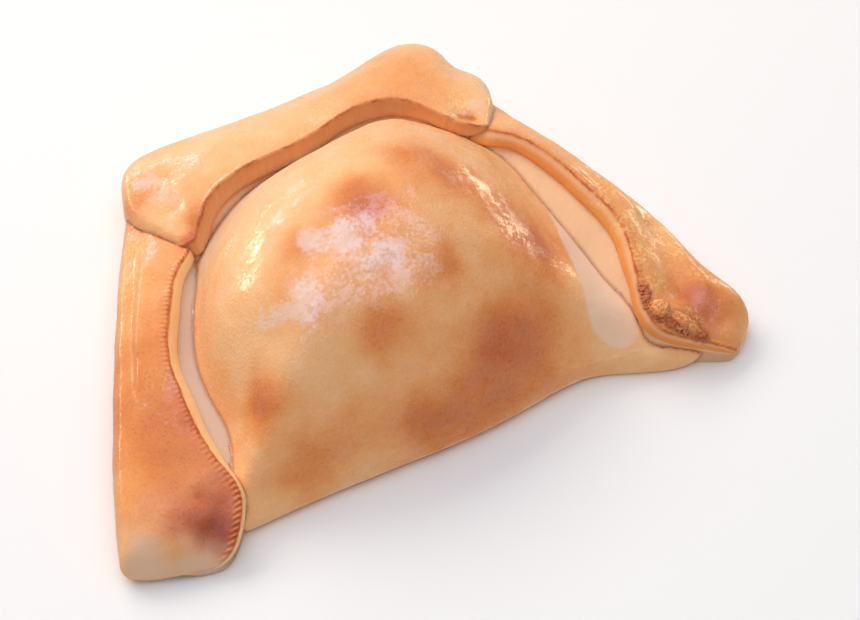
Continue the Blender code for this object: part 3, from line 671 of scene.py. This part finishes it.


# How the oven and the brush left the crust, and where sheen and glints are painted into its tone

oven = {
    "fillingTone": 0.04,
    "lipTone": 0.15,
    "lipSpread": 4.0,
    "baseTone": 0.52,
    "seed": 2,
    # browned spots: x, y, z, radius, strength
    "spots": (
        (8.0, -52.0, 10.0, 25.0, 0.15),
        (34.0, -18.0, 26.0, 24.0, 0.12),
        (14.0, 22.0, 34.0, 14.0, 0.08),
        (-6.0, -19.0, 42.0, 12.0, 0.12),
        (-25.0, -23.5, 36.5, 9.0, 0.10),
        (67.4, -49.7, 12.0, 6.5, 0.30),
        (32.0, 50.0, 16.0, 22.0, 0.09),
        (-35.0, 38.0, 14.0, 12.0, 0.10),
        (-66.0, -20.0, 12.0, 26.0, 0.12),
        (-74.0, -5.0, 8.0, 26.0, 0.10),
        (74.0, -44.0, 12.0, 10.0, 0.14),
        (19.3, -0.8, 39.7, 9.5, 0.30),
        (24.5, -7.5, 37.5, 6.0, 0.16),
        (0.1, -9.0, 43.6, 7.8, 0.38),
        (-18.5, -12.1, 40.0, 5.5, 0.22),
        (35.5, -21.5, 27.0, 9.0, 0.26),
        (37.1, -27.3, 23.5, 8.0, 0.20),
        (30.5, -12.5, 34.0, 8.0, 0.18),
        (9.6, -29.3, 36.4, 6.0, 0.26),
        (-8.5, -37.0, 33.0, 7.5, 0.26),
        (-38.7, -35.7, 21.0, 6.5, 0.42),
        (-25.4, -47.8, 14.2, 8.0, 0.16),
        (-35.9, -48.7, 10.5, 7.0, 0.24),
        (12.1, -48.8, 13.3, 11.0, 0.22),
        (0.2, -51.9, 7.0, 9.0, 0.10),
        (15.5, -43.0, 23.0, 8.0, 0.20),
        (26.0, -40.5, 20.0, 9.0, 0.20),
        (26.7, -46.3, 11.2, 10.0, 0.16),
        (-6.0, -50.0, 12.5, 8.0, 0.20),
        (-60.2, -51.5, 10.0, 6.0, 0.34),
        (-54.6, -46.5, 12.0, 4.5, 0.18),
        (-54.8, -53.0, 9.5, 4.0, 0.26),
        (-64.0, -48.0, 11.0, 6.0, 0.12),
        (-58.6, -55.4, 8.1, 4.0, 0.22),
        (-59.4, -30.5, 14.2, 10.0, 0.08),
        (-54.4, -27.4, 14.9, 6.0, 0.06),
        (-62.5, -36.7, 13.4, 8.0, 0.07),
        (-26.1, 24.5, 18.5, 4.5, 0.30),
        (-32.9, 20.0, 16.8, 3.0, 0.45),
        (-38.7, 42.0, 12.9, 6.0, 0.18),
        (37.7, 40.0, 22.4, 14.0, 0.12),
        (42.1, 20.3, 24.1, 2.4, 0.25),
        (57.5, -48.5, 15.0, 3.0, 0.12),
        (62.9, -53.5, 11.7, 3.5, 0.10),
    ),
    # pale places that the brush and the heat missed: x, y, z, radius, strength
    "pale": (
        (-75.0, -53.5, 5.5, 9.0, 1.0),
        (-66.0, -58.0, 4.0, 9.0, 0.9),
        (-78.0, -48.0, 7.0, 8.0, 0.6),
    ),
    # places where the egg wash is thin: x, y, z, radius, strength
    "dull": (
        (-62.0, -36.0, 13.0, 17.0, 0.97),
        (-58.0, -49.0, 10.0, 15.0, 0.97),
        (-74.0, -48.0, 8.0, 14.0, 0.9),
        (-61.0, -26.0, 14.5, 12.0, 0.6),
        (-40.0, -51.5, 5.0, 9.0, 1.0),
        (58.0, -52.0, 6.0, 11.0, 1.0),
        (47.0, -51.0, 6.0, 9.0, 1.0),
        (37.1, -27.3, 23.5, 7.0, 0.8),
        (70.0, -37.0, 14.5, 5.0, 0.7),
        (-66.0, -4.0, 12.5, 14.0, 0.75),
        (61.4, -30.0, 17.5, 6.5, 0.9),
        (60.0, -40.0, 16.0, 6.0, 0.8),
        (62.0, -18.0, 19.0, 6.0, 0.7),
        (69.0, -30.0, 15.0, 7.0, 0.6),
        (74.0, -50.0, 9.0, 8.0, 0.4),
        (69.8, -42.4, 13.5, 7.0, 1.0),
        (-50.0, 16.0, 13.0, 9.0, 0.8),
        (-55.0, 0.0, 15.0, 8.0, 0.85),
        (-45.0, 29.0, 11.0, 7.0, 0.65),
    ),
    # places where a painted sheen, a paler and pinker tone, stands for the reflection of the light overhead on the
    # wash: x, y, z, radius, strength
    "milky": (
        (-7.9, -15.6, 42.1, 6.0, 0.9),
        (-13.3, -13.9, 41.5, 5.0, 0.8),
        (-3.0, -23.6, 40.9, 6.0, 0.8),
        (5.5, -29.0, 37.4, 4.5, 0.6),
        (-2.4, -14.7, 42.8, 4.5, 0.7),
        (-23.3, -24.5, 37.2, 6.0, 0.9),
        (-28.5, -22.6, 34.2, 5.0, 0.7),
        (-33.0, 37.0, 16.6, 6.0, 0.6),
        (-34.0, 44.3, 15.0, 5.0, 0.7),
        (-34.4, 28.9, 16.6, 3.5, 0.4),
        (46.4, 23.5, 22.6, 4.0, 0.7),
        (63.6, -45.4, 14.2, 2.4, 0.45),
        (-62.0, -19.0, 14.5, 4.0, 0.35),
        (-58.5, -25.0, 14.8, 4.0, 0.35),
    ),
    # places where glints are painted into the tone as golden grains: x, y, z, radius, strength
    "golden": (
        (62.4, -14.0, 19.0, 5.0, 0.8),
        (62.2, -24.0, 18.0, 5.0, 0.9),
        (61.6, -33.0, 17.0, 4.5, 0.9),
        (60.4, -41.0, 15.5, 4.0, 0.9),
        (68.0, -12.0, 16.5, 6.0, 0.7),
        (71.0, -24.0, 15.0, 5.5, 1.0),
        (72.4, -33.0, 14.0, 5.0, 1.0),
        (73.0, -41.0, 12.5, 4.0, 0.7),
        (57.8, -47.6, 15.5, 3.0, 0.9),
        (62.8, -52.4, 12.5, 4.5, 0.7),
        (50.0, 18.0, 20.0, 6.0, 0.5),
        (56.0, 8.0, 20.0, 6.0, 0.5),
        (-34.0, 32.0, 16.6, 7.0, 0.6),
        (-30.0, 40.0, 17.0, 6.0, 0.5),
        (44.0, 28.0, 23.5, 6.0, 0.6),
        (38.0, 22.0, 24.5, 5.0, 0.5),
        (-50.0, 16.0, 13.0, 8.0, 0.6),
        (-45.0, 28.0, 11.5, 6.0, 0.6),
        (-55.0, -14.0, 15.5, 5.0, 0.5),
        (-26.0, 0.0, 31.0, 6.0, 0.7),
        (-28.0, 8.0, 28.0, 5.0, 0.6),
        (34.0, 4.0, 29.0, 6.0, 0.6),
        (39.0, -8.0, 27.0, 6.0, 0.5),
    ),
    # outlines in plan of the skin round the filling that had no egg wash; at the back the top flap's shade is also
    # painted on it
    "unwashed": (
        ((50.0, 12.0), (48.0, -9.6), (46.0, -20.6), (43.2, -34.4), (41.6, -42.6), (43.0, -47.4), (46.8, -49.6),
         (51.4, -49.0), (57.0, -44.0), (70.0, -30.0), (66.0, 0.0), (56.0, 16.0)),
        ((-36.0, 8.0), (-29.0, 10.5), (-22.0, 10.6), (-16.0, 10.0), (-9.5, 9.6), (-1.0, 12.0), (7.0, 14.5),
         (16.0, 19.0), (26.0, 26.0), (28.0, 36.0), (4.0, 42.0), (-22.0, 40.0), (-38.0, 24.0)),
    ),
}


def polygonGap(points, outline):
    # distance from a closed outline in plan, positive inside it
    outline = np.asarray(curveThrough(outline, 12 * len(outline), closed=True))
    nearest = np.full(len(points), 1e9)
    inside = np.zeros(len(points), bool)
    for start, end in zip(outline, np.roll(outline, -1, axis=0)):
        way = end - start
        share = np.clip(((points - start) @ way) / (way @ way), 0, 1)
        nearest = np.minimum(nearest, np.linalg.norm(points - start - share[:, None] * way, axis=1))
        crosses = (start[1] > points[:, 1]) != (end[1] > points[:, 1])
        height = np.where(crosses, (points[:, 1] - start[1]) / np.where(way[1] == 0, 1e-9, way[1]), 0)
        inside ^= crosses & (points[:, 0] < start[0] + height * way[0])
    return np.where(inside, nearest, -nearest)


def paintFacts(mesh, sources):
    # every vertex takes its facts from the nearest vertex of the lofts
    places = np.concatenate([vertices for vertices, _ in sources])
    facts = np.concatenate([values for _, values in sources])
    tree = kdtree.KDTree(len(places))
    for k, place in enumerate(places):
        tree.insert(place, k)
    tree.balance()
    own = np.array([v.co for v in mesh.vertices])
    found = [tree.find(place) for place in own]
    facts = facts[[index for _, index, _ in found]]
    # the vertices that no loft has lie where two pieces meet
    seam = own[[away > 0.01 * mm for _, _, away in found]]
    meets = kdtree.KDTree(len(seam))
    for k, place in enumerate(seam):
        meets.insert(place, k)
    meets.balance()
    fromSeam = np.array([meets.find(place)[2] / mm for place in own])
    points = own / mm
    noise.seed_set(oven["seed"])
    warped = points + [2.0 * noise.noise_vector(Vector(p) / 9) + 1.2 * noise.noise_vector(Vector(p) / 3.5) for p in points]
    flap, fromLip, layer, alongLip, crimp = facts.T
    tones = [oven["fillingTone"], *(flaps[name]["tone"] for name in ("left", "right", "top"))]
    bake = np.interp(flap, range(4), tones)

    def spread(row, power):
        x, y, z, radius, strength = row
        return strength * np.exp(-((np.linalg.norm(warped - (x, y, z), axis=1) / radius) ** power))

    bake += oven["lipTone"] * np.exp(-np.abs(fromLip) / oven["lipSpread"]) * (flap > 0.5)
    bake += sum(spread(row, 2.4) for row in oven["spots"]) + (layer < -1.5) * crumbs["tone"]
    pale = np.max([spread(row, 2) for row in oven["pale"]], axis=0)
    dull = np.max([spread(row, 2.4) for row in oven["dull"]], axis=0)
    milky = np.max([spread(row, 2.4) for row in oven["milky"]], axis=0)
    golden = np.max([spread(row, 2.4) for row in oven["golden"]], axis=0)
    normals = np.array([v.normal for v in mesh.vertices])
    under = np.clip((1.5 - points[:, 2]) / 1.5, 0, 1) * np.clip(-normals[:, 2] * 3 - 1, 0, 1)
    bake += (oven["baseTone"] - bake) * under
    gaps = [polygonGap(points[:, :2], outline) for outline in oven["unwashed"]]
    unwashed = np.where(flap > 0.5, -20.0, np.max(gaps, axis=0))
    # painted shade: where the back outline's unwashed skin lies under the top flap
    shaded = gaps[1] > gaps[0]
    for name, values in (
        ("flap", flap), ("fromLip", fromLip), ("layer", layer), ("alongLip", alongLip), ("crimp", crimp),
        ("bake", bake), ("pale", pale), ("dull", dull), ("milky", milky), ("golden", golden),
        ("unwashed", unwashed), ("shaded", shaded), ("under", under), ("seam", fromSeam),
    ):
        attribute = mesh.attributes.new(name, "FLOAT", "POINT")
        attribute.data.foreach_set("value", values.astype(np.float32))


# Hollows and ridges of the turned-over dough: a path in plan, width and height

folds = (
    (((69.5, -24.0), (68.2, -31.0), (66.8, -38.0), (65.6, -44.0)), 4.2, -1.5),
    (((64.4, -14.0), (63.2, -24.0), (61.4, -34.0), (59.6, -42.0)), 3.2, 0.5),
    (((71.8, -24.0), (72.4, -31.0), (72.0, -39.0), (71.6, -45.0)), 2.6, 0.7),
    (((-31.0, 43.0), (-33.5, 38.0), (-33.0, 32.0)), 3.4, -0.9),
    (((-27.0, 38.0), (-28.8, 31.0), (-29.4, 25.0)), 2.2, 0.6),
    (((41.0, 21.0), (43.5, 20.0)), 2.0, -0.9),
    (((46.0, 37.0), (49.6, 32.0), (51.0, 26.0)), 2.6, 0.5),
    (((-60.0, -6.0), (-65.0, -18.0), (-68.0, -32.0)), 5.0, -0.6),
    (((-44.5, 6.0), (-51.5, -6.0), (-55.0, -17.0), (-56.5, -30.0), (-55.5, -41.0)), 2.8, 0.5),
    (((-59.0, -46.0), (-57.6, -51.5), (-61.5, -54.6)), 2.2, -0.7),
)


def raiseFolds(mesh):
    points = np.array([v.co for v in mesh.vertices])
    normals = np.array([v.normal for v in mesh.vertices])
    lift = np.zeros(len(points))
    flap = np.array([value.value for value in mesh.attributes["flap"].data])
    for path, width, height in folds:
        path = curveThrough(path, 6 * len(path))
        gap = np.full(len(points), 1e9)
        for start, end in zip(path, path[1:]):
            way = end - start
            share = np.clip(((points[:, :2] / mm - start) @ way) / (way @ way), 0, 1)
            gap = np.minimum(gap, np.linalg.norm(points[:, :2] / mm - start - share[:, None] * way, axis=1))
        lift += height * np.exp(-((gap / width) ** 2))
    lift *= np.minimum(flap, 1) * np.clip(normals[:, 2] * 3 - 0.5, 0, 1)
    points += normals * lift[:, None] * mm
    mesh.vertices.foreach_set("co", points.ravel())
    mesh.update()


# Where the surface is hollow, from -1 on an edge to 1 in a crease, for painted shade in the crust's creases

def markHollows(mesh, rounds=3, full=0.10):
    points = np.array([v.co for v in mesh.vertices])
    normals = np.array([v.normal for v in mesh.vertices])
    ends = np.array([edge.vertices for edge in mesh.edges])
    both = np.concatenate([ends, ends[:, ::-1]])
    count = np.bincount(both[:, 0], minlength=len(points))

    def around(values):
        return np.bincount(both[:, 0], values[both[:, 1]], len(points)) / count

    spread = around(points[:, 0]), around(points[:, 1]), around(points[:, 2])
    hollow = ((np.stack(spread, axis=1) - points) * normals).sum(axis=1)
    gap = np.linalg.norm(points[both[:, 0]] - points[both[:, 1]], axis=1)
    hollow /= np.bincount(both[:, 0], gap, len(points)) / count * full
    hollow = np.clip(hollow, -2, 2)
    for _ in range(rounds):
        hollow = 0.5 * (hollow + around(hollow))
    attribute = mesh.attributes.new("hollow", "FLOAT", "POINT")
    attribute.data.foreach_set("value", np.clip(hollow, -1, 1).astype(np.float32))


# Relief of the skin that the loft doesn't have, along the normals

relief = {
    "Swell Size": 8.0,
    "Swell Height": 0.30 * mm,
    "Pucker Size": 2.6,
    "Pucker Height": 0.07 * mm,
    "Crimp Pitch": 1.3,
    "Crimp Height": 0.11 * mm,
}


def reliefTree():
    graph, source = geometryTree("crustRelief", relief)
    place = graph.add("GeometryNodeInputPosition")
    normal = graph.add("GeometryNodeInputNormal")

    def bumps(size, seed):
        values = {"Vector": place, "W": seed, "Scale": 1000.0 / size, "Detail": 1.5}
        return graph.add("ShaderNodeTexNoise", {"noise_dimensions": "4D"}, values)

    swell = (bumps(source.sibling("Swell Size"), 3.0) - 0.5) * source.sibling("Swell Height") * 2
    pucker = (bumps(source.sibling("Pucker Size"), 5.0) - 0.5) * source.sibling("Pucker Height") * 2
    above = graph.step(graph.add("ShaderNodeSeparateXYZ", None, {"Vector": place}, out="Z"), 0.0, 3.0 * mm)
    along = graph.add("GeometryNodeInputNamedAttribute", {"data_type": "FLOAT"}, {"Name": "alongLip"})
    crimp = graph.add("GeometryNodeInputNamedAttribute", {"data_type": "FLOAT"}, {"Name": "crimp"})
    wave = (along * (2 * math.pi) / source.sibling("Crimp Pitch") + bumps(4.0, 9.0) * 3.0).sine()
    lift = (swell + pucker) * above + wave * crimp * source.sibling("Crimp Height")
    offset = graph.add("ShaderNodeVectorMath", {"operation": "SCALE"}, {"Vector": normal, "Scale": lift})
    moved = graph.add("GeometryNodeSetPosition", None, {"Geometry": source, "Offset": offset})
    moved = graph.add("GeometryNodeRealizeInstances", None, {"Geometry": moved})
    moved = graph.add("GeometryNodeSetMaterial", None, {"Geometry": moved, "Material": crust})
    graph.add("NodeGroupOutput", None, {"Geometry": moved})
    return graph.tree


# Baked, egg-washed dough

crustLook = {
    "tones": (
        (0.00, (0.96, 0.57, 0.29)),
        (0.16, (0.91, 0.42, 0.165)),
        (0.34, (0.79, 0.27, 0.080)),
        (0.56, (0.58, 0.155, 0.062)),
        (0.80, (0.37, 0.085, 0.045)),
        (1.00, (0.18, 0.045, 0.022)),
    ),
    "raw": (0.90, 0.66, 0.52),
    # the unwashed skin's tone under the top flap's painted shade
    "shadedRaw": (0.68, 0.47, 0.33),
    # the tone of the painted sheen, a reflection of the light overhead
    "paintedSheenTone": (0.84, 0.67, 0.60),
    # the tone of the painted glints
    "paintedGlintTone": (1.0, 0.63, 0.25),
    # the burnt brown of the lip, also the painted shade in the flaps' hollows
    "burntAndShade": (0.40, 0.085, 0.025),
    # the painted shade where a flap meets the filling
    "creaseShade": (0.42, 0.17, 0.075),
    "paleDough": (0.78, 0.56, 0.41),
    "washedRoughness": 0.34,
    "dryRoughness": 0.62,
    "coat": 0.85,
    "coatRoughness": 0.20,
    "coatBending": 1.5,
    "gloss": 0.06,
    "peelDepth": 0.11 * mm,
    "pinGap": 11.0,
}


def crustMaterial():
    look = crustLook
    material = bpy.data.materials.new("bakedCrust")
    material.use_nodes = True
    graph = Graph(material.node_tree)
    place = graph.add("ShaderNodeTexCoord", out="Object")

    def fact(name):
        return graph.add("ShaderNodeAttribute", {"attribute_name": name}, out="Fac")

    mottle = graph.noise(place, 7.0, 3.0, 1.0) - 0.5
    grain = graph.noise(place, 0.8, 3.0, 2.0) - 0.5
    wobble = graph.noise(place, 1.6, 3.0, 4.0) - 0.5
    kind = fact("flap")
    fromLip = fact("fromLip")
    layer = fact("layer")
    crimps = (fact("alongLip") * (2 * math.pi / relief["Crimp Pitch"]) + wobble * 2.0).sine()
    crimp = fact("crimp")
    patches = graph.noise(place, 15.0, 1.5, 10.0) - 0.5
    bake = fact("bake") + patches * 0.16 + mottle * 0.22 + grain * 0.14
    freckles = graph.step(graph.noise(place, 0.55, 1.0, 13.0), 0.56, 0.70)
    bake = bake + crimps * crimp * 0.16 + freckles * graph.step(bake, 0.06, 0.4) * 0.09
    cell = graph.add("ShaderNodeTexVoronoi", None, {"Vector": place, "Scale": 1 / (look["pinGap"] * mm)})
    pins = (1 - graph.step(cell, 0.01, 0.035)) * graph.step(cell.sibling("Color"), 0.55, 0.56)
    bake = bake + pins * 0.5
    tone = graph.add("ShaderNodeValToRGB", {"stops": look["tones"]}, {"Fac": bake})

    # painted shade: hollows and creases of the flaps and crumbs darken towards burnt brown
    tone = graph.blend(graph.step(fact("hollow") * graph.step(kind, 0.4, 0.6), 0.2, 0.9) * 0.7, tone, (*look["burntAndShade"], 1))

    onCut = graph.step(fromLip + wobble * 0.5, 0.0, 0.35)
    across = layer * 0.5 + wobble * 0.06
    cutTone = None
    for name in ("left", "right", "top"):
        face = graph.add("ShaderNodeValToRGB", {"stops": flaps[name]["cut"]}, {"Fac": across})
        here = graph.step(kind, flaps[name]["kind"] - 0.6, flaps[name]["kind"] - 0.4)
        cutTone = graph.blend(here, cutTone, face) if cutTone else face
    torn = graph.add("ShaderNodeCombineXYZ", None, {0: fact("alongLip") * mm, 1: fromLip * (0.14 * mm), 2: kind})
    torn = graph.noise(torn, 0.9, 2.0, 12.0) - 0.5
    torn = graph.step(torn.absolute(), 0.0, 0.22) * (0.04 + graph.step(kind, 2.4, 2.6) * 0.07)
    cutTone = graph.blend(torn, cutTone, (*look["burntAndShade"], 1))
    cutTone = graph.blend(graph.step(bake, 0.42, 0.8), cutTone, tone)
    tone = graph.blend(onCut, tone, cutTone)
    lipLine = fromLip + wobble * 1.1 + crimps * crimp * 0.3 + 0.15
    burn = 1 - graph.step(lipLine.absolute(), 0.05, 0.6)
    patchy = graph.step(graph.noise(place, 4.0, 3.0, 6.0), 0.40, 0.62)
    dashes = 1 - crimp * (0.5 - crimps * 0.5)
    tone = graph.blend(burn * dashes * (0.25 + patchy * 0.6), tone, (*look["burntAndShade"], 1))

    shaded = fact("shaded")
    missed = fact("unwashed") + wobble * 0.8 + mottle * (2.0 + shaded * 8.0)
    raw = graph.step(missed, -0.4 - shaded * 2.0, 0.9 + shaded * 3.5)
    # painted shade: the back's unwashed skin is darker, most near the flap, fading away from the seam
    rawTone = graph.blend(shaded, (*look["raw"], 1), (*look["shadedRaw"], 1))
    fading = 1 - shaded * graph.step(fact("seam"), 2.0, 14.0) * 0.55
    tone = graph.blend(raw * (0.9 - patches.absolute() * 1.2) * fading, tone, rawTone)
    pale = fact("pale") + mottle * 0.6 + wobble * 0.2
    tone = graph.blend(graph.step(pale, 0.2, 1.0) * 0.85, tone, (*look["paleDough"], 1))

    crumb = graph.step(-1 * layer, 1.3, 1.8)
    dry = raw.maximum(graph.step(pale, 0.2, 0.7)).maximum(onCut).maximum(fact("under"))
    nearLip = 1 - graph.step(fromLip.absolute(), 0.3, 1.0)
    dry = dry.maximum(crumb * 0.6).maximum(burn).maximum(nearLip * (1 - crimp) * 0.9)
    rough = look["washedRoughness"] + grain * 0.12 + dry * (look["dryRoughness"] - look["washedRoughness"])
    wet = graph.noise(place, 0.9, 2.0, 11.0) + (graph.noise(place, 4.5, 2.0, 12.0) - 0.5) * 1.1
    # painted sheen: the tone turns pale and pinkish in grains where the light overhead reflects off the wash
    paintedSheenTone = graph.step(fact("milky") + (wet - 0.5) * 0.9 + grain * 0.7, 0.20, 0.85) * graph.step(fact("milky"), 0.05, 0.45)
    tone = graph.blend(paintedSheenTone * 0.6, tone, (*look["paintedSheenTone"], 1))
    # painted glints: golden grains where the lights glint off the wash
    glintFlecks = graph.step(graph.noise(place, 0.75, 2.0, 14.0), 0.45, 0.62)
    tone = graph.blend(glintFlecks * graph.step(fact("golden") + mottle, 0.1, 0.9) * 0.75, tone, (*look["paintedGlintTone"], 1))
    wet = 0.18 + graph.step(wet, 0.40, 0.62) * 0.82
    coat = (1 - dry) * (1 - fact("dull")) * wet * look["coat"]

    peel = graph.noise(place, 0.7, 2.0, 7.0) * 1.6 + graph.noise(place, 1.6, 1.0, 8.0) * 0.5
    peel = peel * (1 - dry * 0.6) + crimps * crimp * 0.9
    height = {"Strength": 1.0, "Distance": look["peelDepth"], "Height": peel}
    # painted shade: the tone darkens to brown within about a millimetre of the seam where a flap meets the filling
    tone = graph.blend((1 - graph.step(fact("seam") + wobble * 0.5, 0.0, 1.1)) * (0.5 - crumb * 0.2), tone, (*look["creaseShade"], 1))
    shader = graph.add("ShaderNodeBsdfPrincipled", None, {
        "Base Color": tone,
        "Roughness": rough,
        "Coat Weight": coat,
        "Coat Roughness": look["coatRoughness"],
        "Coat IOR": look["coatBending"],
        "Specular IOR Level": look["gloss"],
        "Normal": graph.add("ShaderNodeBump", None, height, out="Normal"),
        "Subsurface Weight": 0.10,
        "Subsurface Radius": (1.0, 0.45, 0.2),
        "Subsurface Scale": 1.2 * mm,
    })
    graph.add("ShaderNodeOutputMaterial", None, {"Surface": shader})
    return material


crust = crustMaterial()
print("crust material made")

fillingPiece, *fillingSource = makeFilling()
print("filling made")
pieces, sources = [], [fillingSource]
for seed, name in enumerate(("left", "right", "top")):
    piece, vertices, facts = makeFlap(name, 10 * seed)
    pieces.append(piece)
    sources.append((vertices, facts))
print("flaps turned over")
for piece, layer in ((makeCrumbs(), -2.0), *((lump, -1.0) for lump in makeLumps())):
    places = np.array([v.co for v in piece.data.vertices])
    sources.append((places, np.tile((2.0, -3.0, layer, 0.0, 0.0), (len(places), 1))))
    pieces.append(piece)
print("crumbs scattered")
turnover = fuse(fillingPiece, pieces)
turnover.name = turnover.data.name = "calzoneCrust"
print("crust fused:", len(turnover.data.polygons), "triangles")
paintFacts(turnover.data, sources)
print("baked and brushed")
turnover.data.shade_smooth()
raiseFolds(turnover.data)
applyTree(turnover, reliefTree(), relief)
markHollows(turnover.data)
turnover.data.set_sharp_from_angle(angle=math.radians(55))
print("relief raised:", len(turnover.data.polygons), "triangles")

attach(turnover, "root")
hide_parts("calzone")


# Floor, light and camera

studio = {
    "floorSize": 6.0,
    "floorColour": (0.90, 0.90, 0.90, 1.0),
    "ambient": (1.0, 0.97, 0.94, 1.0),
    "ambientStrength": 0.34,
    "rimStrength": 0.35,  # what only reflections see, so that the washed crust is bright where it turns away
    # place, aimed at the object's middle, size, power, colour and what it lights
    "lights": {
        "backKey": ((-0.20, 0.95, 0.85), (1.2, 0.6), 12.0, (1.0, 0.94, 0.86), "diffuse"),
        "overheadFill": ((0.05, -0.05, 0.9), (1.2, 1.0), 3.6, (1.0, 0.98, 0.98), "diffuse"),
        "overheadGlow": ((0.0, 0.0, 0.60), (0.95, 0.72), 11.0, (0.46, 0.60, 1.0), "glossy"),
        "backLeftGlint": ((-0.48, 0.88, 0.06), (0.36, 0.10), 2.4, (1.0, 0.84, 0.60), "glossy"),
        "backGlow": ((-0.12, 0.95, 0.26), (0.40, 0.20), 1.8, (0.80, 0.76, 1.0), "glossy"),
        "backRightGlint": ((0.94, 0.40, 0.06), (0.45, 0.08), 1.9, (1.0, 0.82, 0.56), "glossy"),
    },
}


def makeFloor():
    half = studio["floorSize"] / 2
    floor = newPiece("floor", [(-half, -half, 0), (half, -half, 0), (half, half, 0), (-half, half, 0)], [(0, 1, 2, 3)])
    material = bpy.data.materials.new("paleFloor")
    material.use_nodes = True
    graph = Graph(material.node_tree)
    shader = graph.add("ShaderNodeBsdfPrincipled", None, {"Base Color": studio["floorColour"], "Roughness": 0.7})
    graph.add("ShaderNodeOutputMaterial", None, {"Surface": shader})
    floor.data.materials.append(material)
    floor.visible_glossy = False  # a sheet of paper this near would whiten the browned front


def makeLights():
    for name, (place, size, power, colour, kind) in studio["lights"].items():
        data = bpy.data.lights.new(name, "AREA")
        data.shape = "RECTANGLE"
        data.size, data.size_y = size
        data.energy = power
        data.color = colour
        light = bpy.data.objects.new(name, data)
        light.visible_diffuse = kind == "diffuse"
        light.visible_glossy = kind == "glossy"
        light.location = place
        light.rotation_mode = "QUATERNION"
        light.rotation_quaternion = (-Vector(place)).to_track_quat("-Z", "Y")
        bpy.context.scene.collection.objects.link(light)
    world = bpy.data.worlds.new("studio")
    world.use_nodes = True
    graph = Graph(world.node_tree)
    reflected = graph.add("ShaderNodeLightPath", out="Is Glossy Ray")
    strength = reflected * studio["rimStrength"] + studio["ambientStrength"]
    background = graph.add("ShaderNodeBackground", None, {"Color": studio["ambient"], "Strength": strength})
    graph.add("ShaderNodeOutputWorld", None, {"Surface": background})
    bpy.context.scene.world = world


viewpoint = {
    "azimuth": -27.0,
    "elevation": 51.0,
    "lens": 90.0,
    "target": (14.8, -13.25, 0.0),
    "distance": 523.9,
}


def makeCamera():
    a, e = math.radians(viewpoint["azimuth"]), math.radians(viewpoint["elevation"])
    back = Vector((math.sin(a) * math.cos(e), -math.cos(a) * math.cos(e), math.sin(e)))
    data = bpy.data.cameras.new("camera")
    data.lens = viewpoint["lens"]
    data.sensor_width = 36.0
    camera = bpy.data.objects.new("camera", data)
    camera.location = (Vector(viewpoint["target"]) + back * viewpoint["distance"]) * mm
    camera.rotation_mode = "QUATERNION"
    camera.rotation_quaternion = (-back).to_track_quat("-Z", "Y")
    bpy.context.scene.collection.objects.link(camera)
    bpy.context.scene.camera = camera


makeFloor()
makeLights()
makeCamera()
bpy.context.scene.view_settings.view_transform = "Standard"
print("studio set up")
